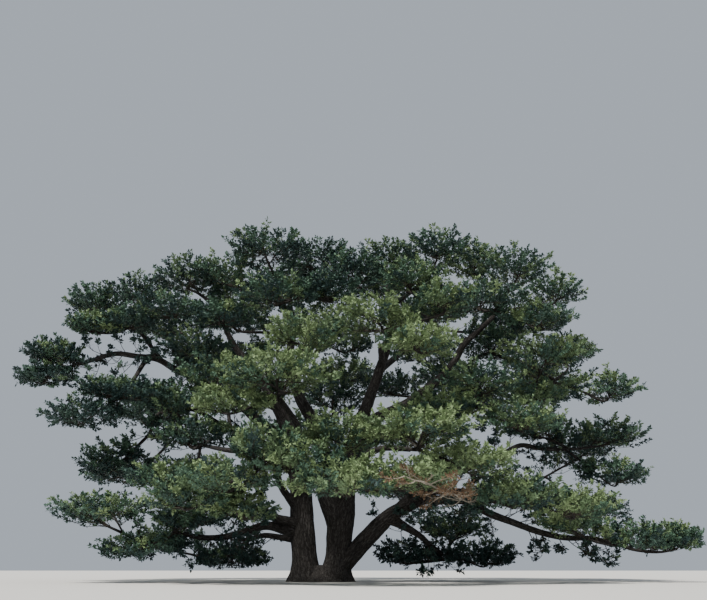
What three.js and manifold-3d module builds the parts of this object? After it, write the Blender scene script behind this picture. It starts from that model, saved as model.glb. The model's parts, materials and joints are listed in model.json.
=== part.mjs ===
// An old spreading evergreen tree: a short trunk that parts into three stems just above the ground,
// long winding boughs, and broad domed pads of foliage. Millimetres, +Z up, with the origin on the
// flat cut at ground level. The crown is entered in metres and grown by seeded rules.
import * as THREE from "three";
import { mergeVertices } from "three/addons/utils/BufferGeometryUtils.js";
import Module from "manifold-3d";

const wasm = await Module();
wasm.setup();

const METRE = 1000;
const GAP = 0.45; // clear space between two pieces that meet
const FINEST = 0.1; // slivers of a joint narrower than this are smoothed out
const SEED = 7;
const BOUGH_SEED_STEP = 100;
const MASS_SEED_STEP = 37;

// Places in the crown are read in one view: across and up on the upright plane through the trunk,
// then moved nearer or further along the line to this eye.
const EYE = { across: 1.48, deep: -40, up: 0.6 };

// The trunk is one block up to the fork, and its flare spreads as low buttress roots.
const FORK_HEIGHT = 0.9;
const FLARE = {
  across: -0.08, // of its middle
  foot: [1.5, 1.3], // half width and half depth at the ground
  waist: [1.2, 0.5], // the same under the crotch
  roots: 7,
  rootDepth: 0.11, // how far a hollow between roots cuts in, as a share of the radius
  curl: 2.2, // how quickly the flare draws in above the ground
  height: 0.76, // to the crotch between the stems
  dome: 3, // over 2, the crotch is flatter and rounds over more quickly at its edge
  sides: 28,
  levels: [0, 0.2, 0.45, 0.7, 0.88, 0.97, 1], // of its height
};

const STEM_SIDES = 10;
const STEM_STEPS = 8;
const BOUGH_SIDES = 6;
const BOUGH_TAPER = 0.8; // under 1, a bough thins faster near its root
const WINDING = 0.055; // how far aside a bough winds, as a share of each stretch
const SLAB_WIDTH = 60; // of a block wider than the whole tree

// Each stem: its middle line from below the ground to its top, and its radius at even steps along it.
const STEMS = {
  left_stem: {
    radii: [0.8, 0.6, 0.56, 0.52, 0.42, 0.31],
    line: [
      [-0.74, 0.1, -0.3], [-0.84, 0.1, 0.9], [-1, 0.12, 2.4],
      [-1.12, 0.15, 4.4], [-1.5, 0.3, 6.4], [-2.3, 0.7, 8.2],
    ],
  },
  right_stem: {
    radii: [0.82, 0.59, 0.64, 0.52, 0.42, 0.35],
    line: [[0.6, 0, -0.3], [0.72, 0, 0.9], [0.82, -0.05, 2.2], [1, -0.1, 4], [1.4, -0.05, 6.2], [2, 0, 8]],
  },
  low_stem: {
    radii: [0.46, 0.43, 0.4, 0.35, 0.26],
    line: [[0.5, -0.1, 0.2], [1.2, -0.15, 0.98], [2.2, -0.2, 2.05], [3.3, -0.3, 3.05], [4.9, -0.45, 3.8]],
  },
};

// Each bough: the limb it leaves and where along it, the places it bends at, its tip, and its radius
// at the root and at the tip.
const BOUGHS = {
  high_left: {
    from: "right_stem", at: 0.3, radii: [0.5, 0.14],
    bends: [[0.12, -0.3, 4.1], [-0.2, -0.45, 6.7], [-1.2, -0.5, 8.7], [-1.8, -0.4, 11]],
    tip: [-1.9, -0.4, 13.9],
  },
  high_right: {
    from: "right_stem", at: 0.985, radii: [0.34, 0.14],
    bends: [[2.6, 0.1, 9.6], [3.2, 0.2, 11.3]], tip: [3.6, 0.3, 13.4],
  },
  left_arm: {
    from: "left_stem", at: 0.72, radii: [0.3, 0.1],
    bends: [[-2.6, 0, 7.1], [-4.6, 0, 8.8], [-6.8, 0, 9.9], [-8.6, -0.2, 10.8], [-10.8, -0.6, 11.1]],
    tip: [-12.8, -0.9, 10.5],
  },
  left_riser: {
    from: "left_stem", at: 0.985, radii: [0.3, 0.12],
    bends: [[-3.4, 1, 10]], tip: [-5.6, 0.8, 13.3],
  },
  left_shoulder: {
    from: "left_arm", at: 0.66, radii: [0.15, 0.09],
    bends: [[-9, 0.8, 11.5]], tip: [-9.9, 1.3, 12.5],
  },
  left_elbow: {
    from: "left_arm", at: 0.72, radii: [0.14, 0.08],
    bends: [[-9.6, -1.4, 10]], tip: [-10.4, -2.5, 8.9],
  },
  left_droop: {
    from: "left_stem", at: 0.64, radii: [0.2, 0.07],
    bends: [[-3.6, -1.5, 6.9], [-6.6, -1.5, 8.2], [-8.3, -1.3, 8], [-8.7, -1.2, 7]], tip: [-9.5, -1.2, 6.1],
  },
  left_inner: {
    from: "left_stem", at: 0.38, radii: [0.2, 0.1],
    bends: [[-2.05, -0.6, 4.4], [-2.9, -2, 5.9]], tip: [-4.4, -3.2, 7.1],
  },
  left_low: {
    from: "left_stem", at: 0.29, radii: [0.26, 0.1],
    bends: [[-2.7, -0.6, 2.55], [-4.6, -1.2, 2.05]], tip: [-6.8, -2.2, 2.2],
  },
  left_back: {
    from: "left_stem", at: 0.25, radii: [0.18, 0.09],
    bends: [[-2.8, 1.4, 2.1]], tip: [-4, 3, 1.9],
  },
  front_left: {
    from: "left_stem", at: 0.68, radii: [0.22, 0.1],
    bends: [[-1.3, -2.6, 7.3]], tip: [-2.3, -5.4, 8.8],
  },
  front_left_low: {
    from: "left_stem", at: 0.33, radii: [0.23, 0.09],
    bends: [[-2.4, -1, 2.95], [-3.2, -2.6, 3.35]], tip: [-4.4, -5.4, 4],
  },
  right_riser: {
    from: "right_stem", at: 0.92, radii: [0.33, 0.12],
    bends: [[4.2, 0.2, 8.5], [6, 0.2, 9.9], [7.2, 0, 11.6]], tip: [8.9, 0, 13.2],
  },
  right_arm: {
    from: "right_stem", at: 0.8, radii: [0.28, 0.11],
    bends: [[4.6, 1.3, 7.9], [7.6, 1, 8.8]], tip: [11.4, 0.4, 9.6],
  },
  right_centre: {
    from: "right_arm", at: 0.4, radii: [0.15, 0.08],
    bends: [[6.6, -1.2, 8.1]], tip: [7.5, -2.9, 8.3],
  },
  right_elbow: {
    from: "low_stem", at: 0.74, radii: [0.24, 0.1],
    bends: [[5.2, 0.5, 4.9], [8, 1.2, 5.6], [9.8, 1.6, 6.4]], tip: [11.8, 1.6, 6.2],
  },
  right_sweep: {
    from: "low_stem", at: 0.98, radii: [0.24, 0.1],
    bends: [[7, -0.8, 3.7], [9.2, -1, 2.7], [11.6, -1.2, 2]], tip: [14, -1, 1.7],
  },
  right_front: {
    from: "low_stem", at: 0.85, radii: [0.2, 0.09],
    bends: [[5.2, -2.4, 4.1]], tip: [7.4, -5.2, 3.9],
  },
  right_drop: {
    from: "low_stem", at: 0.66, radii: [0.24, 0.08],
    bends: [[4.5, 0.4, 2.2], [5.2, 0.9, 1.6]], tip: [5.8, 1.6, 1.2],
  },
  front_top: {
    from: "high_right", at: 0.5, radii: [0.18, 0.09],
    bends: [[2.9, -1.6, 11.4]], tip: [3.4, -3.8, 12.2],
  },
  front_right: {
    from: "right_stem", at: 0.6, radii: [0.24, 0.1],
    bends: [[2, -2.6, 5.8]], tip: [4.4, -6.4, 6.2],
  },
  front_low: {
    from: "right_stem", at: 0.5, radii: [0.22, 0.1],
    bends: [[0.9, -2.6, 4.5]], tip: [1.1, -6.6, 4.7],
  },
  back_left: {
    from: "left_stem", at: 0.6, radii: [0.24, 0.1],
    bends: [[-2.8, 2.6, 6]], tip: [-6, 6.6, 6.4],
  },
  back_mid: {
    from: "right_stem", at: 0.56, radii: [0.26, 0.1],
    bends: [[0.6, 2.8, 5.3]], tip: [0.6, 8.4, 6],
  },
  back_right: {
    from: "right_stem", at: 0.72, radii: [0.24, 0.1],
    bends: [[3.4, 3, 7.2]], tip: [7.2, 6.4, 8],
  },
  back_low_right: {
    from: "low_stem", at: 0.8, radii: [0.22, 0.1],
    bends: [[4.9, 2.4, 4.2]], tip: [8.8, 6, 4.2],
  },
  back_top: {
    from: "high_left", at: 0.55, radii: [0.2, 0.1],
    bends: [[-2.2, 2.6, 10.4]], tip: [-2.4, 4.6, 12],
  },
  back_top_right: {
    from: "high_right", at: 0.42, radii: [0.2, 0.1],
    bends: [[4, 2.4, 11.2]], tip: [5.8, 4.2, 12.3],
  },
};

// The pads of foliage in the mass that each bough carries: the middle of the pad, its width (also its
// depth) and its height.
const PADS = {
  high_left: [
    [-3.1, -1.6, 16.8, 4.8, 2.5], [-0.3, 1.6, 16.2, 4.4, 2.5], [-5.4, 0.8, 15.5, 4, 2.2],
    [-2.6, -4.2, 14.2, 4.4, 2], [0.3, -3.4, 14.5, 3.6, 1.9],
  ],
  high_right: [
    [3.3, 2, 16.3, 3.8, 2.5], [5.9, -1.2, 16.8, 3.8, 2.5], [1.5, -1.6, 15.6, 3.6, 2.1],
    [4.6, -3.2, 15, 3.8, 2],
  ],
  left_arm: [[-14, -0.8, 11.1, 3, 1.6], [-14.4, -1.4, 9.8, 3, 1.4]],
  left_riser: [
    [-7.3, 1.6, 15.3, 4.4, 2.3], [-8.2, -1.6, 13.5, 4, 1.9], [-5.2, -2.4, 13, 3.8, 1.9],
    [-4.6, 3.4, 14.2, 4.4, 2],
  ],
  left_shoulder: [
    [-12.2, 0.8, 13.9, 3.2, 2.2], [-12.2, -1, 12.6, 2.6, 1.3], [-9.8, 3, 14.5, 4, 2.3],
    [-10.2, -0.6, 12.8, 3.2, 1.5],
  ],
  left_elbow: [[-12.2, -3.2, 7.8, 3.6, 1.9], [-11, -2.4, 9.2, 3, 1.2], [-9, -3.4, 9, 3, 1.4]],
  left_droop: [[-10.6, -1.2, 5.5, 3, 2.4]],
  left_inner: [
    [-6.3, -3.6, 6.8, 4, 1.9], [-5.6, -2.6, 9.9, 4.4, 2.1], [-6.7, -1, 11.5, 3.8, 1.8],
    [-7.6, -3, 8.6, 3.4, 1.5],
  ],
  left_low: [
    [-10.9, -3.4, 3.3, 4.4, 1.7], [-8.7, -2.8, 1.4, 4.2, 1.5], [-7.5, -4.6, 4.8, 4, 1.7],
    [-6.6, -3.6, 2.9, 3.4, 1.4],
  ],
  left_back: [[-4.3, 4.6, 1, 4.6, 1.7], [-7.4, 4.2, 1.9, 4.2, 1.8]],
  front_left: [[-2.4, -7.8, 10, 5.2, 2.2], [-4.8, -6.2, 8.5, 4, 1.8], [-1.2, -6, 12.1, 4, 2]],
  front_left_low: [
    [-4.7, -8, 4.7, 4.4, 2], [-6.6, -6.6, 3.8, 3.8, 1.7], [-2.7, -9, 6.4, 3.6, 1.8],
    [-4, -5.6, 3.2, 3.4, 1.5],
  ],
  right_riser: [
    [7.9, 1.8, 16.2, 3.8, 2.4], [10.1, -1.2, 15.7, 4, 2.5], [12, 1.4, 14.4, 3.8, 2.5],
    [8.2, -3, 14, 4, 1.9], [11.2, -2.8, 12.8, 3.6, 1.7],
  ],
  right_arm: [
    [11.1, -2.2, 10.9, 4.8, 2.3], [14.2, 0.6, 9.2, 4, 2.4], [8.4, 1.6, 11.6, 4, 2],
    [12.4, 2.8, 11.2, 3.6, 1.9], [6, 3, 9.8, 3.8, 1.8], [10.6, -1.2, 8.8, 4, 1.8],
  ],
  right_centre: [[8, -4.2, 9.6, 4.2, 2], [9.9, -4.8, 7.6, 4, 1.9], [5.8, -4.6, 8.3, 3.4, 1.6]],
  right_elbow: [[14.2, 2.2, 6.9, 4.4, 1.8], [14.2, 0.8, 4.9, 3.6, 2], [10.6, 2, 7.3, 3.8, 1.7]],
  right_sweep: [[15.3, -1, 1.9, 3.8, 2], [16.9, -1, 1.9, 2.6, 1.6], [12, -2.2, 2.7, 3.4, 1.4]],
  right_front: [[9.4, -6.4, 3.9, 4.4, 2], [12.1, -5.4, 3.4, 4, 1.8]],
  right_drop: [[4, 2.2, 1.2, 3.6, 1.7], [7.6, 1.4, 1.1, 3.8, 1.8], [6.2, 3.2, 2.5, 4, 1.5]],
  front_top: [[2.4, -5.2, 12.9, 4.8, 2.1], [6.3, -4.6, 13.9, 3.6, 1.9], [5, -6.6, 11.6, 3.6, 1.7]],
  front_right: [[4.7, -9, 7.1, 5, 2], [7.3, -7.8, 5.5, 4.2, 1.8]],
  front_low: [
    [1.2, -10.4, 4.5, 4.4, 1.8], [3.9, -10, 4.8, 4.4, 1.8], [-1, -9.2, 5.6, 4, 1.7],
    [0.9, -7.6, 7, 4, 1.7],
  ],
  back_left: [
    [-9, 8, 8, 5, 2.5], [-6, 10.6, 5, 5, 2.3], [-9.9, 6, 4.9, 4.4, 2.1], [-6.2, 8, 10.6, 4.8, 2.3],
  ],
  back_mid: [
    [-1, 12.4, 7.2, 5.4, 2.5], [3.8, 11.2, 4.2, 5, 2.2], [1, 9.8, 10, 5, 2.3], [-3.4, 10, 9.2, 4.4, 2],
    [0.4, 7.2, 8.8, 4.4, 2],
  ],
  back_right: [
    [7, 9.6, 8.6, 5, 2.5], [11, 6.6, 9.6, 4.6, 2.3], [5.2, 8.4, 11.2, 4.6, 2.2], [3.2, 6.2, 9.4, 4, 1.9],
  ],
  back_low_right: [[9, 9.4, 4, 5, 2.3], [13, 6.6, 3.3, 4.4, 2], [12.6, 6.8, 6.2, 4.2, 2]],
  back_top: [
    [-4.6, 6.4, 12.9, 4.8, 2.5], [-0.4, 7.4, 12.6, 4.8, 2.5], [-1.8, 4.8, 14.9, 4.4, 2.3],
    [-8.4, 5.4, 12.4, 4.2, 2.2], [-4.2, 4, 10.9, 4, 1.9], [1, 5, 11.6, 4, 1.9],
  ],
  back_top_right: [[5.4, 6.6, 13.4, 5, 2.5], [9.4, 4.8, 12.6, 4.4, 2.2], [3, 5, 15, 4.2, 2.1]],
};

// The rule that fills a pad: twig ends are dealt evenly inside its dome, the tips of its sprays are
// dealt evenly over its skin, and each spray starts from the twig that ends nearest to its tip.
const SPRAYS_PER_AREA = 0.39; // sprays for each square metre of a pad's plan
const FEWEST_SPRAYS = 5;
const SPRAYS_PER_TWIG = 3.6;
const DOME_FLOOR = -0.4; // height of the lowest spray tip, as a share of the pad's half height
const DOME_TOP = 0.97;
const FIRST_RISE = 0.4; // of the way from the lowest to the highest tip
const TWIG_SHARE = 0.36; // where a twig ends, as a share of the way from the pad's middle to its skin
const TWIG_DROP = 0.25; // how far twig ends lie below that, as a share of the pad's half height
const SPRAY_SPACING = 0.3; // between the roots of the sprays along a twig, in metres
const SPRAY_SETBACK = 0.6; // from a twig's end to the first of them, as a share of the spacing
const SPRAY_LONGEST = 2.4;
const SPRAY_WIDTH = 0.78; // of its length
const SPRAY_THICKNESS = 0.04; // of its length
const SPRAY_WIDEST = 0.66; // of the way along it
const SPRAY_SUNK = 0.4; // how far past the twig's axis a spray is rooted, as a share of its radius
const SPRAY_SHARES = [1, 0.8, 0.6]; // widths that are tried in turn, as shares of the full width
const ROLLS = 5; // how many ways round each of them is tried
const TWIG_SIDES = 3; // also of a spray
const TWIG_RADIUS = 0.055; // of a twig that holds one spray, growing as the root of their number
const TWIG_END = 0.7; // radius of a twig's ends, as a share of its own
const TWIG_ROOM = 1.4; // the room that a twig needs, as a share of its radius
const ROOM_SIDES = 6;
const STEM_SHARE = 0.9; // greatest radius of a mass's stem, as a share of its bough's tip
const SIDE_TWIG_DROP = 0.14; // how far down its parent's stretch a side twig leaves it
const HUB_DROP = 0.5; // how far below a pad's middle its twigs part, as a share of the half height
const BEND_PUSH = 0.14; // how far aside the way to a pad bends, as a share of its length
const NECK = 0.35; // the straight start of a mass's own stem
const DETOUR = 0.35; // how much a twig minds the way back to the stem, beside its own length
const CLEARANCE = 0.005; // least air between two masses, in metres
const LOWEST = 0.08; // no foliage comes nearer to the ground
const PLASTIC = 1.324717957244746; // its powers spread points evenly in two dimensions

const BARK = new THREE.MeshStandardMaterial({ color: 0x4a3f36, roughness: 0.95, metalness: 0 });
const FOLIAGE = new THREE.MeshStandardMaterial({ color: 0x3f5230, roughness: 0.7, metalness: 0 });

// A small generator that gives the same numbers from the same seed in any language.
function seeded(seed) {
  let state = seed >>> 0;
  return () => {
    state = (Math.imul(state, 1664525) + 1013904223) >>> 0;
    return state / 4294967296;
  };
}

const vector = ([x, y, z]) => new THREE.Vector3(x, y, z).multiplyScalar(METRE);

function place([across, deep, up]) {
  const scale = 1 - deep / EYE.deep;
  return vector([EYE.across + (across - EYE.across) * scale, deep, EYE.up + (up - EYE.up) * scale]);
}

// Solids from geometry, and back

function solidOf(geometry) {
  geometry.deleteAttribute("normal");
  geometry.deleteAttribute("uv");
  const merged = mergeVertices(geometry, 1e-3);
  const index = merged.index.array;
  const faces = [];
  for (let i = 0; i < index.length; i += 3) {
    const face = index.slice(i, i + 3);
    if (new Set(face).size === 3) faces.push(...face);
  }
  return new wasm.Manifold(
    new wasm.Mesh({
      numProp: 3,
      vertProperties: merged.attributes.position.array,
      triVerts: new Uint32Array(faces),
    }),
  );
}

function geometryOf(solid) {
  const mesh = solid.getMesh();
  const geometry = new THREE.BufferGeometry();
  geometry.setAttribute("position", new THREE.BufferAttribute(mesh.vertProperties, 3));
  geometry.setIndex(new THREE.BufferAttribute(mesh.triVerts, 1));
  geometry.computeVertexNormals();
  return geometry;
}

const joined = (solids) => solids.reduce((sum, solid) => sum.add(solid));

// The largest body of a solid, with the slivers of its joints smoothed out.
const largest = (solid) =>
  solid
    .decompose()
    .sort((a, b) => b.volume() - a.volume())[0]
    .simplify(FINEST);

// A closed cylinder drawn onto rings of points, which turn one way about the direction of travel.
// Where all points of a ring are one, it ends in a tip.
function loft(rings) {
  const sides = rings[0].length;
  const steps = rings.length - 1;
  const geometry = new THREE.CylinderGeometry(1, 1, 1, sides, steps);
  const { position } = geometry.attributes;
  for (let i = 0; i < position.count; i++) {
    const [x, y, z] = [position.getX(i), position.getY(i), position.getZ(i)];
    const points = rings[Math.round((y + 0.5) * steps)];
    const side = Math.round((Math.atan2(x, z) / (2 * Math.PI)) * sides + sides) % sides;
    const onRim = Math.hypot(x, z) > 0.5;
    const target = onRim ? points[side] : middleOf(points);
    position.setXYZ(i, target.x, target.y, target.z);
  }
  return solidOf(geometry);
}

const middleOf = (points) =>
  points.reduce((sum, point) => sum.add(point), new THREE.Vector3()).divideScalar(points.length);

function ring(middle, normal, binormal, radius, sides) {
  return Array.from({ length: sides }, (_, j) => {
    const angle = (2 * Math.PI * j) / sides;
    return middle
      .clone()
      .addScaledVector(normal, radius * Math.cos(angle))
      .addScaledVector(binormal, radius * Math.sin(angle));
  });
}

// A tapering limb along its curve, thicker by grow all over.
function limbSolid({ curve, radiusAt, sides, steps }, grow = 0) {
  const { tangents, normals, binormals } = curve.computeFrenetFrames(steps, false);
  const rings = tangents.map((tangent, i) => {
    const middle = curve.getPointAt(i / steps);
    if (i === 0) middle.addScaledVector(tangent, -grow);
    if (i === steps) middle.addScaledVector(tangent, grow);
    return ring(middle, normals[i], binormals[i], radiusAt(i / steps) + grow, sides);
  });
  return loft(rings);
}

// Limbs

// The value at share u of a list of even steps, eased from each to the next.
function eased(values, u) {
  const at = u * (values.length - 1);
  const i = Math.min(Math.floor(at), values.length - 2);
  return THREE.MathUtils.lerp(values[i], values[i + 1], THREE.MathUtils.smoothstep(at - i, 0, 1));
}

function stemLimb({ line, radii }) {
  return {
    curve: new THREE.CatmullRomCurve3(line.map(vector), false, "centripetal"),
    radiusAt: (u) => eased(radii, u) * METRE,
    sides: STEM_SIDES,
    steps: STEM_STEPS,
  };
}

// A bough winds a little: the middle of each stretch but the first is pushed aside at random.
function boughLimb({ from, at, bends, tip, radii }, limbs, random) {
  const marks = [limbs[from].curve.getPointAt(at), ...bends.map(place), place(tip)];
  const points = [marks[0]];
  for (let i = 1; i < marks.length; i++) {
    const stretch = marks[i].clone().sub(marks[i - 1]);
    const [aside, over] = frameOf(stretch.clone().normalize());
    const push = i > 1 ? stretch.length() * WINDING : 0;
    const middle = marks[i - 1].clone().lerp(marks[i], 0.5);
    middle.addScaledVector(aside, push * (2 * random() - 1));
    middle.addScaledVector(over, push * (2 * random() - 1));
    points.push(middle, marks[i]);
  }
  return {
    curve: new THREE.CatmullRomCurve3(points, false, "centripetal"),
    radiusAt: (u) => THREE.MathUtils.lerp(radii[0], radii[1], Math.pow(u, BOUGH_TAPER)) * METRE,
    sides: BOUGH_SIDES,
    steps: points.length,
  };
}

// Two directions square to a given one, the first of them level.
function frameOf(direction) {
  const level = new THREE.Vector3(-direction.y, direction.x, 0);
  if (level.length() < 1e-3) level.set(1, 0, 0);
  level.normalize();
  return [level, direction.clone().cross(level).normalize()];
}

function flareSolid() {
  const { across: middle, foot, waist, roots, rootDepth, curl, height, dome, sides, levels } = FLARE;
  const rings = levels.map((level) => {
    const spread = Math.pow(1 - level, curl);
    const closing = Math.pow(1 - Math.pow(level, dome), 1 / dome);
    return Array.from({ length: sides }, (_, j) => {
      const angle = (2 * Math.PI * j) / sides;
      const hollow = 1 - rootDepth * spread * (1 - Math.cos(roots * angle));
      const across = THREE.MathUtils.lerp(waist[0], foot[0], spread) * hollow * closing;
      const deep = THREE.MathUtils.lerp(waist[1], foot[1], spread) * hollow * closing;
      return vector([middle + across * Math.cos(angle), deep * Math.sin(angle), level * height]);
    });
  });
  return loft(rings);
}

// A block that fills everything between two heights.
function slab(low, high) {
  const box = new THREE.BoxGeometry(SLAB_WIDTH * METRE, SLAB_WIDTH * METRE, (high - low) * METRE);
  box.translate(0, 0, ((low + high) / 2) * METRE);
  return solidOf(box);
}

// Every limb is cut clear of those before it, so a bough starts at the bark of the limb it leaves.
function buildLimbs() {
  const limbs = {};
  const solids = {};
  const cutters = [slab(-SLAB_WIDTH, FORK_HEIGHT + GAP / METRE)];
  const stems = [];
  const add = (name, limb) => {
    limbs[name] = limb;
    const cut = cutters.reduce((solid, cutter) => solid.subtract(cutter), limbSolid(limb));
    solids[name] = largest(cut);
    cutters.push(limbSolid(limb, GAP));
  };
  for (const [name, row] of Object.entries(STEMS)) {
    add(name, stemLimb(row));
    stems.push(limbSolid(limbs[name]));
  }
  const trunk = joined([flareSolid(), ...stems]).intersect(slab(0, FORK_HEIGHT));
  cutters.shift();
  Object.entries(BOUGHS).forEach(([name, row], i) => {
    add(name, boughLimb(row, limbs, seeded(SEED + BOUGH_SEED_STEP * i)));
  });
  return { limbs, solids: { trunk, ...solids } };
}

// Foliage

// Point i of an even sequence laid over a pad's dome, as an offset from the pad's middle. The first
// one reaches away from the tree's middle.
function domePoint(i, middle, half) {
  const turn = Math.atan2(middle.y, middle.x) + (2 * Math.PI * i) / PLASTIC;
  const rise = THREE.MathUtils.lerp(DOME_FLOOR, DOME_TOP, (FIRST_RISE + i / PLASTIC ** 2) % 1);
  const flat = Math.sqrt(1 - rise * rise);
  return new THREE.Vector3(flat * Math.cos(turn), flat * Math.sin(turn), rise).multiply(half);
}

function padPoints([across, deep, up, width, height]) {
  const middle = place([across, deep, up]);
  const half = new THREE.Vector3(width, width, height).multiplyScalar(METRE / 2);
  const count = Math.max(FEWEST_SPRAYS, Math.round((SPRAYS_PER_AREA * Math.PI * width * width) / 4));
  const tips = Array.from({ length: count }, (_, i) => domePoint(i, middle, half).add(middle));
  const ends = Array.from({ length: Math.round(count / SPRAYS_PER_TWIG) }, (_, i) => {
    const end = domePoint(i + count, middle, half).multiplyScalar(TWIG_SHARE);
    end.z -= TWIG_DROP * half.z;
    return end.add(middle);
  });
  const hub = middle.clone();
  hub.z -= HUB_DROP * half.z;
  return { hub, ends, tips };
}

// The twigs of a mass as a tree of nodes, from the stem that meets the bough's tip. Each twig end
// joins the node that costs least, by the distance and by part of the way from there to the stem.
function skeleton(limb, pads, mass, random) {
  const along = limb.curve.getTangentAt(1);
  const start = limb.curve.getPointAt(1).addScaledVector(along, GAP);
  const nodes = [];
  const add = (at, from) => {
    const way = from ? from.way + from.at.distanceTo(at) : 0;
    nodes.push({ at, from, way, mass, tips: [], load: 0 });
    return nodes.at(-1);
  };
  const nearest = (at, detour) => {
    const cost = (node) => node.at.distanceTo(at) + detour * node.way;
    return nodes.slice(1).reduce((best, node) => (cost(node) < cost(best) ? node : best));
  };
  add(start.clone().addScaledVector(along, NECK * METRE), add(start, null));
  const grown = pads.map(padPoints);
  grown.sort((a, b) => a.hub.distanceTo(start) - b.hub.distanceTo(start));
  for (const { hub, ends, tips } of grown) {
    const from = nearest(hub, DETOUR);
    const push = BEND_PUSH * from.at.distanceTo(hub);
    const aside = new THREE.Vector3(2 * random() - 1, 2 * random() - 1, random() - 0.5);
    add(hub, add(from.at.clone().lerp(hub, 0.5).addScaledVector(aside, push), from));
    ends.sort((a, b) => a.distanceTo(hub) - b.distanceTo(hub));
    for (const end of ends) add(end, nearest(end, DETOUR));
    for (const tip of tips) nearest(tip, 0).tips.push(tip);
  }
  for (const node of nodes.slice(1).reverse()) {
    node.load += node.tips.length;
    node.from.load += node.load;
  }
  nodes.forEach(rootHeirs);
  return nodes;
}

// The heaviest twig goes straight on from its parent, and the others leave a little below it.
function rootHeirs(node, index, nodes) {
  const heirs = nodes.filter((other) => other.from === node).sort((a, b) => b.load - a.load);
  heirs.forEach((heir, rank) => {
    heir.leads = rank === 0;
    heir.root = node.at.clone();
    if (rank > 0 && node.from) heir.root.lerp(node.from.at, SIDE_TWIG_DROP * rank);
  });
}

const twigRadius = ({ load }, limit) => Math.min(TWIG_RADIUS * Math.sqrt(Math.max(load, 1)), limit) * METRE;

// The room that one stretch of a twig takes up, tried before the twig is grown.
function stretchSolid(node, limit) {
  const direction = node.at.clone().sub(node.root).normalize();
  const [normal, binormal] = frameOf(direction);
  const radius = TWIG_ROOM * twigRadius(node, limit);
  const end = node.at.clone().addScaledVector(direction, radius);
  return loft([node.root, end].map((middle) => ring(middle, normal, binormal, radius, ROOM_SIDES)));
}

// A spray is a thin kite with a ridge: its rings are the root, the widest section and the tip.
function sprayRings(root, tip, radius, roll, share) {
  const axis = tip.clone().sub(root);
  const length = Math.min(axis.length(), SPRAY_LONGEST * METRE);
  axis.normalize();
  const [level, over] = frameOf(axis);
  const thick = level.multiplyScalar(-Math.sin(roll)).addScaledVector(over, Math.cos(roll));
  const wide = axis.clone().cross(thick);
  const base = root.clone().addScaledVector(axis, -SPRAY_SUNK * radius);
  const middle = base.clone().addScaledVector(axis, SPRAY_WIDEST * length);
  const halfWidth = (share * SPRAY_WIDTH * length) / 2;
  const section = [
    middle.clone().addScaledVector(thick, SPRAY_THICKNESS * length),
    middle.clone().addScaledVector(wide, halfWidth),
    middle.clone().addScaledVector(wide, -halfWidth),
  ];
  const end = base.clone().addScaledVector(axis, length);
  return [Array(TWIG_SIDES).fill(base), section, Array(TWIG_SIDES).fill(end)];
}

// The twigs of a mass as three-sided runs, each going on through the nodes that lead, and ending in
// a spray where its last node has one.
function twigRuns(nodes, limit) {
  const kept = nodes.filter((node) => node.kept);
  const firsts = kept.filter((node) => !node.leads || node === nodes[1]);
  return firsts.map((first) => {
    const run = [first];
    const heir = () => kept.find((node) => node.leads && node.from === run.at(-1));
    while (heir()) run.push(heir());
    const points = [first.root, ...run.map((node) => node.at)];
    let normal = null;
    const rings = points.map((point, k) => {
      const [before, after] = [points[Math.max(k - 1, 0)], points[Math.min(k + 1, run.length)]];
      const tangent = after.clone().sub(before).normalize();
      normal = normal ? normal.clone().addScaledVector(tangent, -normal.dot(tangent)) : frameOf(tangent)[0];
      normal.normalize();
      const narrow = k === run.length || (k === 0 && first !== nodes[1]);
      const radius = twigRadius(run[Math.max(k - 1, 0)], limit) * (narrow ? TWIG_END : 1);
      return ring(point, normal, tangent.clone().cross(normal), radius, TWIG_SIDES);
    });
    return loft([...rings, ...endSprayRings(run.at(-1), normal)]);
  });
}

// The widest section and the tip of the spray that ends a run, turned over where that twists it less.
function endSprayRings({ endSpray }, normal) {
  if (!endSpray) return [];
  const [, [ridge, left, right], tip] = endSpray;
  const middle = left.clone().lerp(right, 0.5);
  const lift = ridge.clone().sub(middle);
  if (lift.dot(normal) >= 0) return [[ridge, left, right], tip];
  return [[middle.sub(lift), right, left], tip];
}

// Everything that foliage keeps clear of: limbs by name, and twigs and sprays by their node.
class Neighbours {
  constructor() {
    this.held = [];
  }
  add(solid, owner) {
    this.held.push({ solid, owner, box: solid.boundingBox() });
  }
  // Whether a solid keeps clear of everything but the pieces whose owner it may touch.
  clear(solid, mayTouch) {
    const room = CLEARANCE * METRE;
    const { min, max } = solid.boundingBox();
    if (min[2] < LOWEST * METRE) return false;
    return this.held.every(
      (near) =>
        mayTouch(near.owner) ||
        [0, 1, 2].some((k) => near.box.min[k] > max[k] + room || near.box.max[k] < min[k] - room) ||
        near.solid.minGap(solid, room) >= room,
    );
  }
}

// Twigs whose room is taken are skipped, with all that would grow on them.
function keepTwigs(nodes, limit, near) {
  nodes.slice(1).forEach((node, i) => {
    const room = stretchSolid(node, limit);
    const mayTouch = (owner) => owner.mass === node.mass || (i === 0 && owner === node.mass);
    const rooted = i === 0 || node.from.kept;
    node.kept = rooted && near.clear(room, mayTouch);
    if (node.kept) near.add(room, node);
  });
}

// The rings of a spray that finds room, tried at several widths and turns, or null.
function growSpray(node, root, tip, limit, random, near) {
  const mayTouch = (owner) => owner === node || owner === node.from || owner.from === node;
  const roll = Math.PI * random();
  for (const share of SPRAY_SHARES)
    for (let i = 0; i < ROLLS; i++) {
      const rings = sprayRings(root, tip, twigRadius(node, limit), roll + (i * Math.PI) / ROLLS, share);
      const blade = loft(rings);
      if (!near.clear(blade, mayTouch)) continue;
      near.add(blade, "spray");
      return rings;
    }
  return null;
}

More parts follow.
